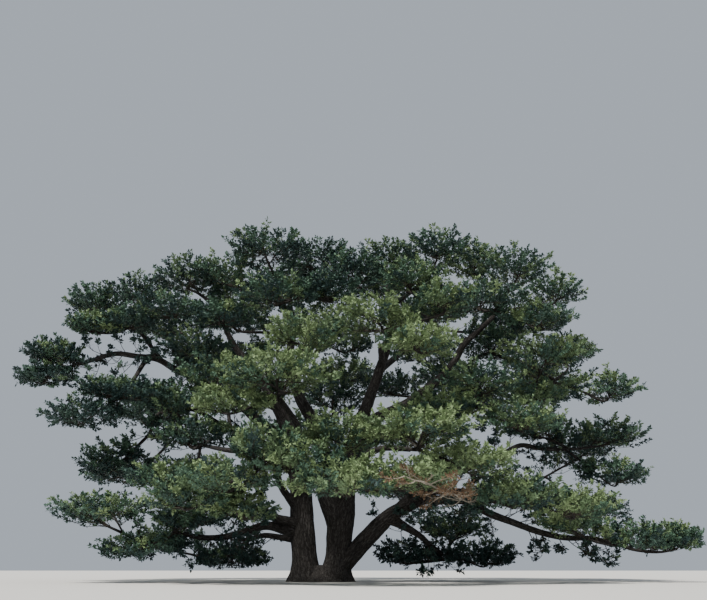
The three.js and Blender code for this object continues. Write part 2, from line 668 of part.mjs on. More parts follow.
// The first spray of a last node ends its twig, and the others leave the twig one below another.
function growSprays(node, nodes, limit, random, near) {
  const [first, ...others] = node.tips;
  const isLast = !nodes.some((other) => other.kept && other.from === node);
  if (isLast && first) node.endSpray = growSpray(node, node.at, first, limit, random, near);
  const back = node.root.clone().sub(node.at);
  const spacing = Math.min(SPRAY_SPACING * METRE, back.length() / (node.tips.length + 1));
  back.normalize();
  return (isLast ? others : node.tips)
    .map((tip, k) => {
      const root = node.at.clone().addScaledVector(back, (k + SPRAY_SETBACK) * spacing);
      return growSpray(node, root, tip, limit, random, near);
    })
    .filter((rings) => rings)
    .map(loft);
}

// All twigs come before any spray, so that no spray stands in another mass's way.
function buildMasses(limbs, limbSolids) {
  const near = new Neighbours();
  for (const [name, solid] of Object.entries(limbSolids)) near.add(solid, name);
  const masses = Object.entries(PADS).map(([bough, pads], i) => {
    const random = seeded(SEED + MASS_SEED_STEP * (i + 1));
    const limit = BOUGHS[bough].radii[1] * STEM_SHARE;
    const nodes = skeleton(limbs[bough], pads, bough, random);
    keepTwigs(nodes, limit, near);
    return { bough, nodes, limit, random };
  });
  return masses.map(({ bough, nodes, limit, random }) => {
    const kept = nodes.filter((node) => node.kept);
    const sprays = kept.flatMap((node) => growSprays(node, nodes, limit, random, near));
    return [bough + "_foliage", largest(joined([...twigRuns(nodes, limit), ...sprays]))];
  });
}

// The tree

const tree = new THREE.Group();
const { limbs, solids } = buildLimbs();
const parts = [...Object.entries(solids), ...buildMasses(limbs, solids)];
for (const [name, solid] of parts) {
  const mesh = new THREE.Mesh(geometryOf(solid), name in solids ? BARK : FOLIAGE);
  mesh.name = name;
  tree.add(mesh);
}

export default tree;
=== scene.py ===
"""Looks for an old spreading evergreen tree: furrowed bark on its trunk, stems and boughs, a crown of
fine twigs and leaves, thin shoots that hang from its low boughs, and one dead bough. Metres, +Z up, with
the origin on the ground under the trunk."""

import json
import math
from functools import partial

import bpy
import numpy as np
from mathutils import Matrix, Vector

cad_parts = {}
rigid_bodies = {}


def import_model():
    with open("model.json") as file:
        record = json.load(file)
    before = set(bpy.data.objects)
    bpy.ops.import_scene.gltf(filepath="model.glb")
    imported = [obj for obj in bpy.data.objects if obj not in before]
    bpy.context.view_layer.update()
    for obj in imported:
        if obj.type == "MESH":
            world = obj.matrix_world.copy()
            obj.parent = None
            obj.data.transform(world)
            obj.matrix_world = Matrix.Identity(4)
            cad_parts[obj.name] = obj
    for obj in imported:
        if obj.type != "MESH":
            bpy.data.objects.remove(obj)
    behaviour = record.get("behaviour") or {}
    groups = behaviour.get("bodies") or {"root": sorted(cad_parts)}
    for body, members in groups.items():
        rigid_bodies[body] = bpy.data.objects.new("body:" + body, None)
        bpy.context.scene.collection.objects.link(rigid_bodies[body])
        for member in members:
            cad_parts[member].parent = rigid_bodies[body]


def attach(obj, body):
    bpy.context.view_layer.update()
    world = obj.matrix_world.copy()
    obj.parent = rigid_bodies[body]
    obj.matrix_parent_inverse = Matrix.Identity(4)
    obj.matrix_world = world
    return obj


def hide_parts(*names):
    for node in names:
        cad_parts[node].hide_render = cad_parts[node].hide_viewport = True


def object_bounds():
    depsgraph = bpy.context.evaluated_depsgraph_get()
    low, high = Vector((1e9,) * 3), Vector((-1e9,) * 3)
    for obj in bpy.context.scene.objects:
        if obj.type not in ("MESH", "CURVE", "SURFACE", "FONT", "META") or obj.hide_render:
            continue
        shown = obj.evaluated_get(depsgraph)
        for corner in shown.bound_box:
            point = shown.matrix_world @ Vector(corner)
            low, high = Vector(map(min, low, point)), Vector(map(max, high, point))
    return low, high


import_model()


def corners():
    return [[float(value) for value in corner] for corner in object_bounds()]


size_at_start = corners()
LOW, HIGH = (np.array(corner) for corner in size_at_start)

SEED = 7
BOUGH_SEED_STEP = 100
MASS_SEED_STEP = 37
GAP = 0.00045  # between a bough's tip and the stem of its mass
TINY = 1e-9  # under any length or step that counts

UP = np.array([0.0, 0.0, 1.0])
ASLANT = np.array([0.13, 0.21, 0.97])  # nearly upright, and in line with no twig
UPRIGHT = 1e-3  # a level part under this counts as none

# Places in the crown are read in one view: across and up on the upright plane through the trunk,
# then moved nearer or further along the line to this eye.
EYE_ACROSS = 1.48
EYE_DEEP = -40.0
EYE_UP = 0.6
PITCH = math.radians(18.55)
VIEW_WIDTH = 707  # pixels
FOCAL_PIXELS = 800
SENSOR_WIDTH = 36  # millimetres
FOCAL = FOCAL_PIXELS / VIEW_WIDTH * SENSOR_WIDTH

FLARE_HEIGHT = 0.76  # to the crotch between the stems
FLARE_ACROSS = -0.08  # of its middle
FLARE_FOOT = (1.5, 1.3)  # half width and half depth at the ground
FLARE_WAIST = (1.2, 0.5)
FLARE_ROOTS = 7
FLARE_DEPTH = 0.11  # half of that of the hollows between its roots, as a share of the way out
FLARE_CURL = 2.2  # over 1, it spreads mostly near the ground
FLARE_DOME = 3  # over 2, the crotch is flatter and rounds over more quickly at its edge
FLARE_SIDES = 180
FLARE_ROWS = 30
FLARE_BARK_RADIUS = 0.8  # of the limb whose bark the flare has
FLARE_BARK_START = 0.05  # height in which its relief grows to full
FLARE_BARK_INSET = 0.01
FLARE_PHASE = 0.4
BOUGH_TAPER = 0.8  # under 1, a bough thins more quickly near its root
WINDING = 0.055  # how far a bough strays at most, as a share of each stretch

# Bark
GRAIN = "grain"  # where each point of the bark is along and round its limb
GRAIN_SHIFT = 10  # along the limb, so that no two look the same
RIDGE_WIDTH = 0.15
FEWEST_RIDGES = 5  # round a limb
RIDGE_MIDDLE = 0.75  # the height in a ridge, as a share, that keeps the limb's radius
RIDGE_ROUNDING = 0.55  # under 1, ridges are broad and furrows narrow
RIDGE_SLANT = 0.78  # lean of the ridges, for each radius along the limb
SLANT_RADIUS = 0.12  # slimmer limbs have the slant of this one
RIGHT_WANDER = 1.2  # of the ridges that lean right, against those that lean left
RIGHT_PHASE = 1.7
FURROW_DEPTH = 0.05
FURROW_SHARE = 0.085  # of the radius, where that is less
RIPPLE = 0.05  # slow swellings, as a share of the radius

# Waves that bend, break and swell the ridges: height, rate along the limb, and number round it.
DRIFT = (1.5, 1.1, 0)
CURL = (0.8, 2.9, 2)
BREAKS = (0.25, 5.3, 3)
SWELL = (0.5, 0.9, 3)
TWIST = (0.5, 1.7, -2)

STEM_SIDES = 100
STEM_SPACING = 0.075  # between its rings
STEM_PHASE = 0.7
STEM_PHASE_STEP = 1.3
BOUGH_SIDES = 12  # at least, and two more for each step in its radius
BOUGH_SIDES_STEP = 0.035
BOUGH_SPACING = 0.18
BOUGH_PHASE_STEP = 0.9
FEWEST_ROWS = 4
TIP_SHARE = 0.05  # of its radius, that a limb or twig has at its very tip
GOES_ON = 0.95  # a bough that leaves its limb past this share goes on from it, with no collar
FOOT_REACH = 0.62  # of the swelling at the foot of a stem, from where its line starts
FOOT_SWELLING = 0.26  # there, as a share of its radius
FOOT_LOBES = 5
LOBE_DEPTH = 0.5  # share of that swelling that comes and goes round it
COLLAR_REACH = 0.5
COLLAR_SWELLING = 0.4  # of a bough at its root, as a share of its radius
COLLAR_LIMIT = 0.85  # radius of a collar at most, as a share of the limb's that it leaves

# Each stem: its middle line from below the ground to its top, and its radius at even steps along it.
STEMS = {
    "left_stem": {
        "radii": [0.8, 0.6, 0.56, 0.52, 0.42, 0.31],
        "line": [
            [-0.74, 0.1, -0.3], [-0.84, 0.1, 0.9], [-1, 0.12, 2.4], [-1.12, 0.15, 4.4],
            [-1.5, 0.3, 6.4], [-2.3, 0.7, 8.2],
        ],
    },
    "right_stem": {
        "radii": [0.82, 0.59, 0.64, 0.52, 0.42, 0.35],
        "line": [
            [0.6, 0, -0.3], [0.72, 0, 0.9], [0.82, -0.05, 2.2], [1, -0.1, 4], [1.4, -0.05, 6.2], [2, 0, 8],
        ],
    },
    "low_stem": {
        "radii": [0.46, 0.43, 0.4, 0.35, 0.26],
        "line": [
            [0.5, -0.1, 0.2], [1.2, -0.15, 0.98], [2.2, -0.2, 2.05], [3.3, -0.3, 3.05], [4.9, -0.45, 3.8],
        ],
    },
}

# Each bough: the limb it leaves, where along it, the radius at its root and tip, and the places it
# bends at, the last of them its tip.
BOUGHS = {
    "high_left": ("right_stem", 0.3, 0.5, 0.14, [
        [0.12, -0.3, 4.1], [-0.2, -0.45, 6.7], [-1.2, -0.5, 8.7], [-1.8, -0.4, 11], [-1.9, -0.4, 13.9]]),
    "high_right": ("right_stem", 0.985, 0.34, 0.14, [[2.6, 0.1, 9.6], [3.2, 0.2, 11.3], [3.6, 0.3, 13.4]]),
    "left_arm": ("left_stem", 0.72, 0.3, 0.1, [
        [-2.6, 0, 7.1], [-4.6, 0, 8.8], [-6.8, 0, 9.9], [-8.6, -0.2, 10.8], [-10.8, -0.6, 11.1],
        [-12.8, -0.9, 10.5]]),
    "left_riser": ("left_stem", 0.985, 0.3, 0.12, [[-3.4, 1, 10], [-5.6, 0.8, 13.3]]),
    "left_shoulder": ("left_arm", 0.66, 0.15, 0.09, [[-9, 0.8, 11.5], [-9.9, 1.3, 12.5]]),
    "left_elbow": ("left_arm", 0.72, 0.14, 0.08, [[-9.6, -1.4, 10], [-10.4, -2.5, 8.9]]),
    "left_droop": ("left_stem", 0.64, 0.2, 0.07, [
        [-3.6, -1.5, 6.9], [-6.6, -1.5, 8.2], [-8.3, -1.3, 8], [-8.7, -1.2, 7], [-9.5, -1.2, 6.1]]),
    "left_inner": ("left_stem", 0.38, 0.2, 0.1, [[-2.05, -0.6, 4.4], [-2.9, -2, 5.9], [-4.4, -3.2, 7.1]]),
    "left_low": ("left_stem", 0.29, 0.26, 0.1, [[-2.7, -0.6, 2.55], [-4.6, -1.2, 2.05], [-6.8, -2.2, 2.2]]),
    "left_back": ("left_stem", 0.25, 0.18, 0.09, [[-2.8, 1.4, 2.1], [-4, 3, 1.9]]),
    "front_left": ("left_stem", 0.68, 0.22, 0.1, [[-1.3, -2.6, 7.3], [-2.3, -5.4, 8.8]]),
    "front_left_low": ("left_stem", 0.33, 0.23, 0.09, [
        [-2.4, -1, 2.95], [-3.2, -2.6, 3.35], [-4.4, -5.4, 4]]),
    "right_riser": ("right_stem", 0.92, 0.33, 0.12, [
        [4.2, 0.2, 8.5], [6, 0.2, 9.9], [7.2, 0, 11.6], [8.9, 0, 13.2]]),
    "right_arm": ("right_stem", 0.8, 0.28, 0.11, [[4.6, 1.3, 7.9], [7.6, 1, 8.8], [11.4, 0.4, 9.6]]),
    "right_centre": ("right_arm", 0.4, 0.15, 0.08, [[6.6, -1.2, 8.1], [7.5, -2.9, 8.3]]),
    "right_elbow": ("low_stem", 0.74, 0.24, 0.1, [
        [5.2, 0.5, 4.9], [8, 1.2, 5.6], [9.8, 1.6, 6.4], [11.8, 1.6, 6.2]]),
    "right_sweep": ("low_stem", 0.98, 0.24, 0.1, [
        [7, -0.8, 3.7], [9.2, -1, 2.7], [11.6, -1.2, 2], [14, -1, 1.7]]),
    "right_front": ("low_stem", 0.85, 0.2, 0.09, [[5.2, -2.4, 4.1], [7.4, -5.2, 3.9]]),
    "right_drop": ("low_stem", 0.66, 0.24, 0.08, [[4.5, 0.4, 2.2], [5.2, 0.9, 1.6], [5.8, 1.6, 1.2]]),
    "front_top": ("high_right", 0.5, 0.18, 0.09, [[2.9, -1.6, 11.4], [3.4, -3.8, 12.2]]),
    "front_right": ("right_stem", 0.6, 0.24, 0.1, [[2, -2.6, 5.8], [4.4, -6.4, 6.2]]),
    "front_low": ("right_stem", 0.5, 0.22, 0.1, [[0.9, -2.6, 4.5], [1.1, -6.6, 4.7]]),
    "back_left": ("left_stem", 0.6, 0.24, 0.1, [[-2.8, 2.6, 6], [-6, 6.6, 6.4]]),
    "back_mid": ("right_stem", 0.56, 0.26, 0.1, [[0.6, 2.8, 5.3], [0.6, 8.4, 6]]),
    "back_right": ("right_stem", 0.72, 0.24, 0.1, [[3.4, 3, 7.2], [7.2, 6.4, 8]]),
    "back_low_right": ("low_stem", 0.8, 0.22, 0.1, [[4.9, 2.4, 4.2], [8.8, 6, 4.2]]),
    "back_top": ("high_left", 0.55, 0.2, 0.1, [[-2.2, 2.6, 10.4], [-2.4, 4.6, 12]]),
    "back_top_right": ("high_right", 0.42, 0.2, 0.1, [[4, 2.4, 11.2], [5.8, 4.2, 12.3]]),
}

# The pads of foliage in the mass that each bough carries: the middle of the pad, its width (also its
# depth) and its height.
PADS = {
    "high_left": [
        [-3.1, -1.6, 16.8, 4.8, 2.5], [-0.3, 1.6, 16.2, 4.4, 2.5], [-5.4, 0.8, 15.5, 4, 2.2],
        [-2.6, -4.2, 14.2, 4.4, 2], [0.3, -3.4, 14.5, 3.6, 1.9],
    ],
    "high_right": [
        [3.3, 2, 16.3, 3.8, 2.5], [5.9, -1.2, 16.8, 3.8, 2.5], [1.5, -1.6, 15.6, 3.6, 2.1],
        [4.6, -3.2, 15, 3.8, 2],
    ],
    "left_arm": [[-14, -0.8, 11.1, 3, 1.6], [-14.4, -1.4, 9.8, 3, 1.4]],
    "left_riser": [
        [-7.3, 1.6, 15.3, 4.4, 2.3], [-8.2, -1.6, 13.5, 4, 1.9], [-5.2, -2.4, 13, 3.8, 1.9],
        [-4.6, 3.4, 14.2, 4.4, 2],
    ],
    "left_shoulder": [
        [-12.2, 0.8, 13.9, 3.2, 2.2], [-12.2, -1, 12.6, 2.6, 1.3], [-9.8, 3, 14.5, 4, 2.3],
        [-10.2, -0.6, 12.8, 3.2, 1.5],
    ],
    "left_elbow": [[-12.2, -3.2, 7.8, 3.6, 1.9], [-11, -2.4, 9.2, 3, 1.2], [-9, -3.4, 9, 3, 1.4]],
    "left_droop": [[-10.6, -1.2, 5.5, 3, 2.4]],
    "left_inner": [
        [-6.3, -3.6, 6.8, 4, 1.9], [-5.6, -2.6, 9.9, 4.4, 2.1], [-6.7, -1, 11.5, 3.8, 1.8],
        [-7.6, -3, 8.6, 3.4, 1.5],
    ],
    "left_low": [
        [-10.9, -3.4, 3.3, 4.4, 1.7], [-8.7, -2.8, 1.4, 4.2, 1.5], [-7.5, -4.6, 4.8, 4, 1.7],
        [-6.6, -3.6, 2.9, 3.4, 1.4],
    ],
    "left_back": [[-4.3, 4.6, 1, 4.6, 1.7], [-7.4, 4.2, 1.9, 4.2, 1.8]],
    "front_left": [[-2.4, -7.8, 10, 5.2, 2.2], [-4.8, -6.2, 8.5, 4, 1.8], [-1.2, -6, 12.1, 4, 2]],
    "front_left_low": [
        [-4.7, -8, 4.7, 4.4, 2], [-6.6, -6.6, 3.8, 3.8, 1.7], [-2.7, -9, 6.4, 3.6, 1.8],
        [-4, -5.6, 3.2, 3.4, 1.5],
    ],
    "right_riser": [
        [7.9, 1.8, 16.2, 3.8, 2.4], [10.1, -1.2, 15.7, 4, 2.5], [12, 1.4, 14.4, 3.8, 2.5],
        [8.2, -3, 14, 4, 1.9], [11.2, -2.8, 12.8, 3.6, 1.7],
    ],
    "right_arm": [
        [11.1, -2.2, 10.9, 4.8, 2.3], [14.2, 0.6, 9.2, 4, 2.4], [8.4, 1.6, 11.6, 4, 2],
        [12.4, 2.8, 11.2, 3.6, 1.9], [6, 3, 9.8, 3.8, 1.8], [10.6, -1.2, 8.8, 4, 1.8],
    ],
    "right_centre": [[8, -4.2, 9.6, 4.2, 2], [9.9, -4.8, 7.6, 4, 1.9], [5.8, -4.6, 8.3, 3.4, 1.6]],
    "right_elbow": [[14.2, 2.2, 6.9, 4.4, 1.8], [14.2, 0.8, 4.9, 3.6, 2], [10.6, 2, 7.3, 3.8, 1.7]],
    "right_sweep": [[15.3, -1, 1.9, 3.8, 2], [16.9, -1, 1.9, 2.6, 1.6], [12, -2.2, 2.7, 3.4, 1.4]],
    "right_front": [[9.4, -6.4, 3.9, 4.4, 2], [12.1, -5.4, 3.4, 4, 1.8]],
    "right_drop": [[4, 2.2, 1.2, 3.6, 1.7], [7.6, 1.4, 1.1, 3.8, 1.8], [6.2, 3.2, 2.5, 4, 1.5]],
    "front_top": [[2.4, -5.2, 12.9, 4.8, 2.1], [6.3, -4.6, 13.9, 3.6, 1.9], [5, -6.6, 11.6, 3.6, 1.7]],
    "front_right": [[4.7, -9, 7.1, 5, 2], [7.3, -7.8, 5.5, 4.2, 1.8]],
    "front_low": [
        [1.2, -10.4, 4.5, 4.4, 1.8], [3.9, -10, 4.8, 4.4, 1.8], [-1, -9.2, 5.6, 4, 1.7],
        [0.9, -7.6, 7, 4, 1.7],
    ],
    "back_left": [
        [-9, 8, 8, 5, 2.5], [-6, 10.6, 5, 5, 2.3], [-9.9, 6, 4.9, 4.4, 2.1], [-6.2, 8, 10.6, 4.8, 2.3],
    ],
    "back_mid": [
        [-1, 12.4, 7.2, 5.4, 2.5], [3.8, 11.2, 4.2, 5, 2.2], [1, 9.8, 10, 5, 2.3], [-3.4, 10, 9.2, 4.4, 2],
        [0.4, 7.2, 8.8, 4.4, 2],
    ],
    "back_right": [
        [7, 9.6, 8.6, 5, 2.5], [11, 6.6, 9.6, 4.6, 2.3], [5.2, 8.4, 11.2, 4.6, 2.2],
        [3.2, 6.2, 9.4, 4, 1.9],
    ],
    "back_low_right": [[9, 9.4, 4, 5, 2.3], [13, 6.6, 3.3, 4.4, 2], [12.6, 6.8, 6.2, 4.2, 2]],
    "back_top": [
        [-4.6, 6.4, 12.9, 4.8, 2.5], [-0.4, 7.4, 12.6, 4.8, 2.5], [-1.8, 4.8, 14.9, 4.4, 2.3],
        [-8.4, 5.4, 12.4, 4.2, 2.2], [-4.2, 4, 10.9, 4, 1.9], [1, 5, 11.6, 4, 1.9],
    ],
    "back_top_right": [[5.4, 6.6, 13.4, 5, 2.5], [9.4, 4.8, 12.6, 4.4, 2.2], [3, 5, 15, 4.2, 2.1]],
}

# How sunny the leaves of a mass are painted, from 0 for painted shade, dark and blue, to 1 for
# painted sunlight, bright and yellow.
SUNNY = {
    "front_left": 0.85, "front_left_low": 0.55, "front_top": 0.8, "front_right": 0.85, "front_low": 0.88,
    "left_inner": 0.45, "right_front": 0.75, "right_centre": 0.6, "high_left": 0.42, "high_right": 0.35,
    "right_riser": 0.5, "right_arm": 0.5, "right_drop": 0.2, "left_arm": 0.25, "left_elbow": 0.2,
    "left_droop": 0.2, "left_low": 0.3, "left_back": 0.15,
}
SUNNY_ELSEWHERE = 0.35
SUNNY_SPREAD = 0.24  # between the sprays of one pad
# Painted sunlight: the top of a pad is painted sunnier than its middle, by this share.
SUNNY_TOP = 0.38  # how much sunnier the top of a pad is than its middle
SUNNY_PADS = 0.14  # between the pads of one mass

# The rule that fills a pad, as in the solids. Rises and drops are shares of the pad's half height.
SPRAYS_PER_AREA = 0.39
FEWEST_SPRAYS = 5
SPRAYS_PER_TWIG = 3.6
DOME_FLOOR = -0.4  # the lowest and the highest rise of the tips of its sprays
DOME_TOP = 0.97
FIRST_RISE = 0.4  # of the first one, as a share of the way between them
PLASTIC = 1.324717957244746  # turns and rises by its powers spread points evenly
TWIG_SHARE = 0.36  # how far out the ends of its twigs are
TWIG_DROP = 0.25
HUB_DROP = 0.5  # of the fork of its twigs
SIDE_TWIG_DROP = 0.14  # share of the way back to the node before, for each side twig
BEND_PUSH = 0.14  # of the bend before a pad, aside, as a share of the way there
NECK = 0.35  # metres from the bough to the first fork
DETOUR = 0.35  # weight of the way back, where a twig chooses its node

# What the rule is carried on to here: finer twigs, then branchlets, twiglets and leaves.
STEM_SHARE = 0.9  # of the radius at a bough's tip, for the stem of its mass
TWIG_RADIUS = 0.034  # where it carries one spray
TWIG_SLIMMEST = 0.02
TWIG_TAPER = 0.45  # how far it has thinned to that at its end
TWIG_SPACING = 0.2
TWIG_FEWEST_ROWS = 3
TWIG_SIDES = 6
FINE_SPRAYS = 11  # branchlets here for each spray of the solids
FINE_DEEPEST = 0.66  # how far out the finer ones end, at least, as a share of the dome
BRANCHLET_RADIUS = 0.013
BRANCHLET_BACK = 0.75  # how far back along its twig it leaves, at most
BRANCHLET_SAG = 0.12  # of its middle, as a share of its length
BRANCHLET_SWAY = 0.07  # of its middle, aside
BRANCHLET_TAPER = np.array([1.4, 1.0, 0.75, 0.3])  # of its radius, at even steps along it
BRANCHLET_POINTS = len(BRANCHLET_TAPER)
TWIGLETS = 8  # along each branchlet
TWIGLET_LENGTH = 0.26
TWIGLET_LENGTHS = (0.7, 1.25)  # of that, at random
TWIGLET_FIRST = 1.3  # of that, for one where its branchlet starts
TWIGLET_SHORTENING = 0.5  # from there to the branchlet's tip
TWIGLET_RADIUS = 0.005
TWIGLET_JITTER = 0.04  # along its branchlet
TWIGLET_TILT = 0.05
TWIGLET_ONWARD = 0.5  # the parts of its way: on along the branchlet, aside, up, and at random
TWIGLET_SPREAD = (0.1, 1.1)
TWIGLET_LIFT = (-0.15, 0.7)
TWIGLET_STRAY = 0.2
TUFT_START = 0.3  # where along a branchlet its twiglets start
TUFT_CROWDING = 0.6  # under 1, they are closer together towards its tip
LEAVES = 7  # along each twiglet
LEAF_START = 0.1  # where along it they start
LEAF_JITTER = 0.03
LEAF_TURN = math.radians(137.5)  # from each to the next round their twiglet
LEAF_LEAN = (0.5, 1.3)  # on along the twiglet, of the first and of the last
LEAF_STRAY = 0.22
LEAF_TILT = 0.4  # at random, of the side that they spread to
LEAF_ROLL = 0.6  # at random, of each round its midrib
LEAF_LENGTH = 0.165
LEAF_LENGTHS = (0.75, 1.25)  # of that, at random
LEAF_WIDTH = 0.6  # of its length
LEAF_WIDEST = 0.45  # of the way along it
LEAF_FOLD = 0.2  # how far its sides stand over its midrib, as a share of its width
FLATTEN = 0.7  # of their spread above and below, as a share of that to the sides
LEAF_HEADROOM = 0.1  # above the ground
MOST_TRIANGLES = 190000  # in a piece

# Thin shoots with a few leaves, dark with painted shade, hang from the low boughs, between their
# masses. For each of these masses: the limbs that they leave, and how far along they start.
SHOOTING = {
    "right_drop": {"right_drop": 0.2, "low_stem": 0.55},
    "right_sweep": {"right_sweep": 0.05},
    "right_front": {"right_front": 0.1},
    "right_elbow": {"right_elbow": 0.25},
    "left_low": {"left_low": 0.45},
    "left_back": {"left_back": 0.3},
    "left_arm": {"left_arm": 0.45},
    "left_droop": {"left_droop": 0.5},
    "left_inner": {"left_inner": 0.5},
    "front_left_low": {"front_left_low": 0.5},
}
SHOOT_SPACING = 0.36
SHOOT_LENGTHS = (0.8, 1.55)  # at random
SHOOT_LEAN = 0.7  # on along the limb, as a share of the way out from it
SHOOT_DROP = 0.4  # of its tip, at most, as a share of its length
SHOOT_RADIUS = 0.02
SHOOT_FORK_STEP = 2  # a shoot forks where every second of its twiglets would be
SHOOT_FORK_LENGTH = 2.2  # of a twiglet's
SHOOT_LEAFY = 4  # twiglets with leaves at the end of each fork
# Painted shade: the leaves of the shoots are coloured as in the shade inside the crown.
SHOOT_SUNNY = 0.12
SHOOT_HEADROOM = 0.45  # above the ground

# A dead bough hangs at the front: the same values as for a living one. Its twigs are bare but for dry
# leaves towards its tip.
DEAD_BOUGH = ("right_front", 0.8, 0.07, 0.02, [
    [6.7, -8.4, 3.8], [5.9, -10.6, 4.1], [5, -11.8, 4.6], [4, -12.2, 4.9]])
DEAD_ROWS = 60
DEAD_SIDES = 8
DEAD_TWIGS = 26
DEAD_TWIG_START = 0.3
DEAD_TWIG_LENGTH = 0.9
DEAD_TWIG_LENGTHS = (0.6, 1.2)  # of that, at random
DEAD_TWIG_RADIUS = 0.019
DEAD_TWIG_ONWARD = 0.6  # the parts of its way: on along the bough, and at random
DEAD_TWIG_STRAY = 0.35
DEAD_TWIG_SAG = 0.15
DEAD_TWIGLET_TAPER = np.array([1.6, 0.3])  # of a twiglet's radius, at its root and tip
DRY_START = 0.5
DRY_LEAVES = 7  # along each twiglet
DRY_LEAF_LENGTH = 0.12

# Painted light: lit and shaded copies of one leaf colour, from painted shade, dark and blue, to painted
# sunlight, bright and yellow.
LEAF_SHADE_TO_SUN_COLOURS = {
    "shade": (0.024, 0.050, 0.047),
    "deep": (0.038, 0.074, 0.058),
    "green": (0.062, 0.118, 0.078),
    "olive": (0.114, 0.174, 0.090),
    "bright": (0.182, 0.254, 0.122),
}
DRY_COLOUR = (0.135, 0.086, 0.052)
TWIG_COLOUR = (0.040, 0.034, 0.028)
DEAD_COLOUR = (0.240, 0.215, 0.180)
BARK_COLOUR = (0.08, 0.06, 0.05)
# The colour in the cracks of the bark: partly their own dark, partly painted shade in them.
SHADED_CRACK_COLOUR = (0.012, 0.010, 0.009)
STREAK_COLOURS = ((0.3, (0.011, 0.010, 0.010)), (0.72, (0.084, 0.078, 0.075)))  # from dark to pale
FLOOR_COLOUR = (0.62, 0.61, 0.59)
SKY_COLOUR = (0.72, 0.80, 0.90)
SUN_COLOUR = (1.0, 0.96, 0.88)
SPECULAR = 0.25

# The drawing of the bark: its scale round and along the limb, and the noise and cracks in it.
BARK_STRETCH = (5.0, 5.0, 1.3)
STREAKS = {"Scale": 1.6, "Detail": 9, "Roughness": 0.68}
CRACKS = {"Scale": 2.4}
CRACK_WANDER = {"Scale": 2.5, "Detail": 4}
CRACK_WARP = (0.9, 0.9, 0.9)
CRACK_WIDTH = 0.2
FINE_GRAIN = {"Scale": 9, "Detail": 8}
BARK_BUMP = {"Strength": 0.6, "Distance": 0.03}

FLOOR_REACH = 200  # to each side
SKY_STRENGTH = 0.6
SUN_STRENGTH = 5.8
SUN_BREADTH = math.radians(9)
SUN_TILT = math.radians(32)  # from straight down
SUN_TURN = math.radians(-28)

chance = np.random.default_rng(SEED)


class Seeded:
    """A small generator that gives the same numbers as the one the solids are grown with."""

    def __init__(self, seed):
        self.state = seed % 2**32

    def __call__(self):
        self.state = (self.state * 1664525 + 1013904223) % 2**32
        return self.state / 2**32


def place(across, deep, up):
    scale = 1 - deep / EYE_DEEP
    return np.array([EYE_ACROSS + (across - EYE_ACROSS) * scale, deep, EYE_UP + (up - EYE_UP) * scale])


def unit(vectors):
    return vectors / np.maximum(np.linalg.norm(vectors, axis=-1, keepdims=True), TINY)


def frame_of(direction):
    """Two directions square to a given one, the first of them level."""
    level = np.array([-direction[1], direction[0], 0.0])
    if np.linalg.norm(level) < UPRIGHT:
        level = np.array([1.0, 0.0, 0.0])
    level = unit(level)
    return level, unit(np.cross(direction, level))


def three_spokes(ways):
    """Three directions evenly round each way, and square to it."""
    level = unit(np.cross(ways, ASLANT))[..., None, :]
    over = np.cross(ways[..., None, :], level)
    turn = np.arange(3)[:, None] * 2 * math.pi / 3
    return np.cos(turn) * level + np.sin(turn) * over


def by_turns(count):
    """-1 and 1 by turns, for one side and the other."""
    return np.where(np.arange(count) % 2, 1.0, -1.0)


def around(sides):
    """Even angles round a limb, as one row."""
    return np.linspace(0, 2 * math.pi, sides, endpoint=False)[None]


class Curve:
    """A centripetal spline through points, read by its length."""

    SAMPLES = 40  # in each stretch between two points
    CLOSEST = 1e-6  # least distance between points
    STEP = 1e-3  # to each side of a place on it, to read its direction there

    def __init__(self, points):
        points = np.array(points, float)
        marks = [2 * points[0] - points[1], *points, 2 * points[-1] - points[-2]]
        t = np.linspace(0, 1, self.SAMPLES, endpoint=False)[:, None]
        samples = []
        for p0, p1, p2, p3 in zip(marks, marks[1:], marks[2:], marks[3:]):
            steps = (p1 - p0, p2 - p1, p3 - p2)
            d0, d1, d2 = (math.sqrt(max(np.linalg.norm(step), self.CLOSEST)) for step in steps)
            m1 = ((p1 - p0) / d0 - (p2 - p0) / (d0 + d1) + (p2 - p1) / d1) * d1
            m2 = ((p2 - p1) / d1 - (p3 - p1) / (d1 + d2) + (p3 - p2) / d2) * d1
            samples.append(
                p1 + m1 * t + (3 * (p2 - p1) - 2 * m1 - m2) * t**2 + (2 * (p1 - p2) + m1 + m2) * t**3
            )
        self.points = np.vstack([*samples, points[-1:]])
        gaps = np.linalg.norm(np.diff(self.points, axis=0), axis=1)
        self.lengths = np.concatenate([[0], np.cumsum(gaps)])
        self.length = self.lengths[-1]

    def at(self, u):
        along = np.asarray(u) * self.length
        return np.stack([np.interp(along, self.lengths, self.points[:, k]) for k in range(3)], -1)

    def tangent(self, u):
        return unit(self.at(np.minimum(u + self.STEP, 1)) - self.at(np.maximum(u - self.STEP, 0)))


# Meshes


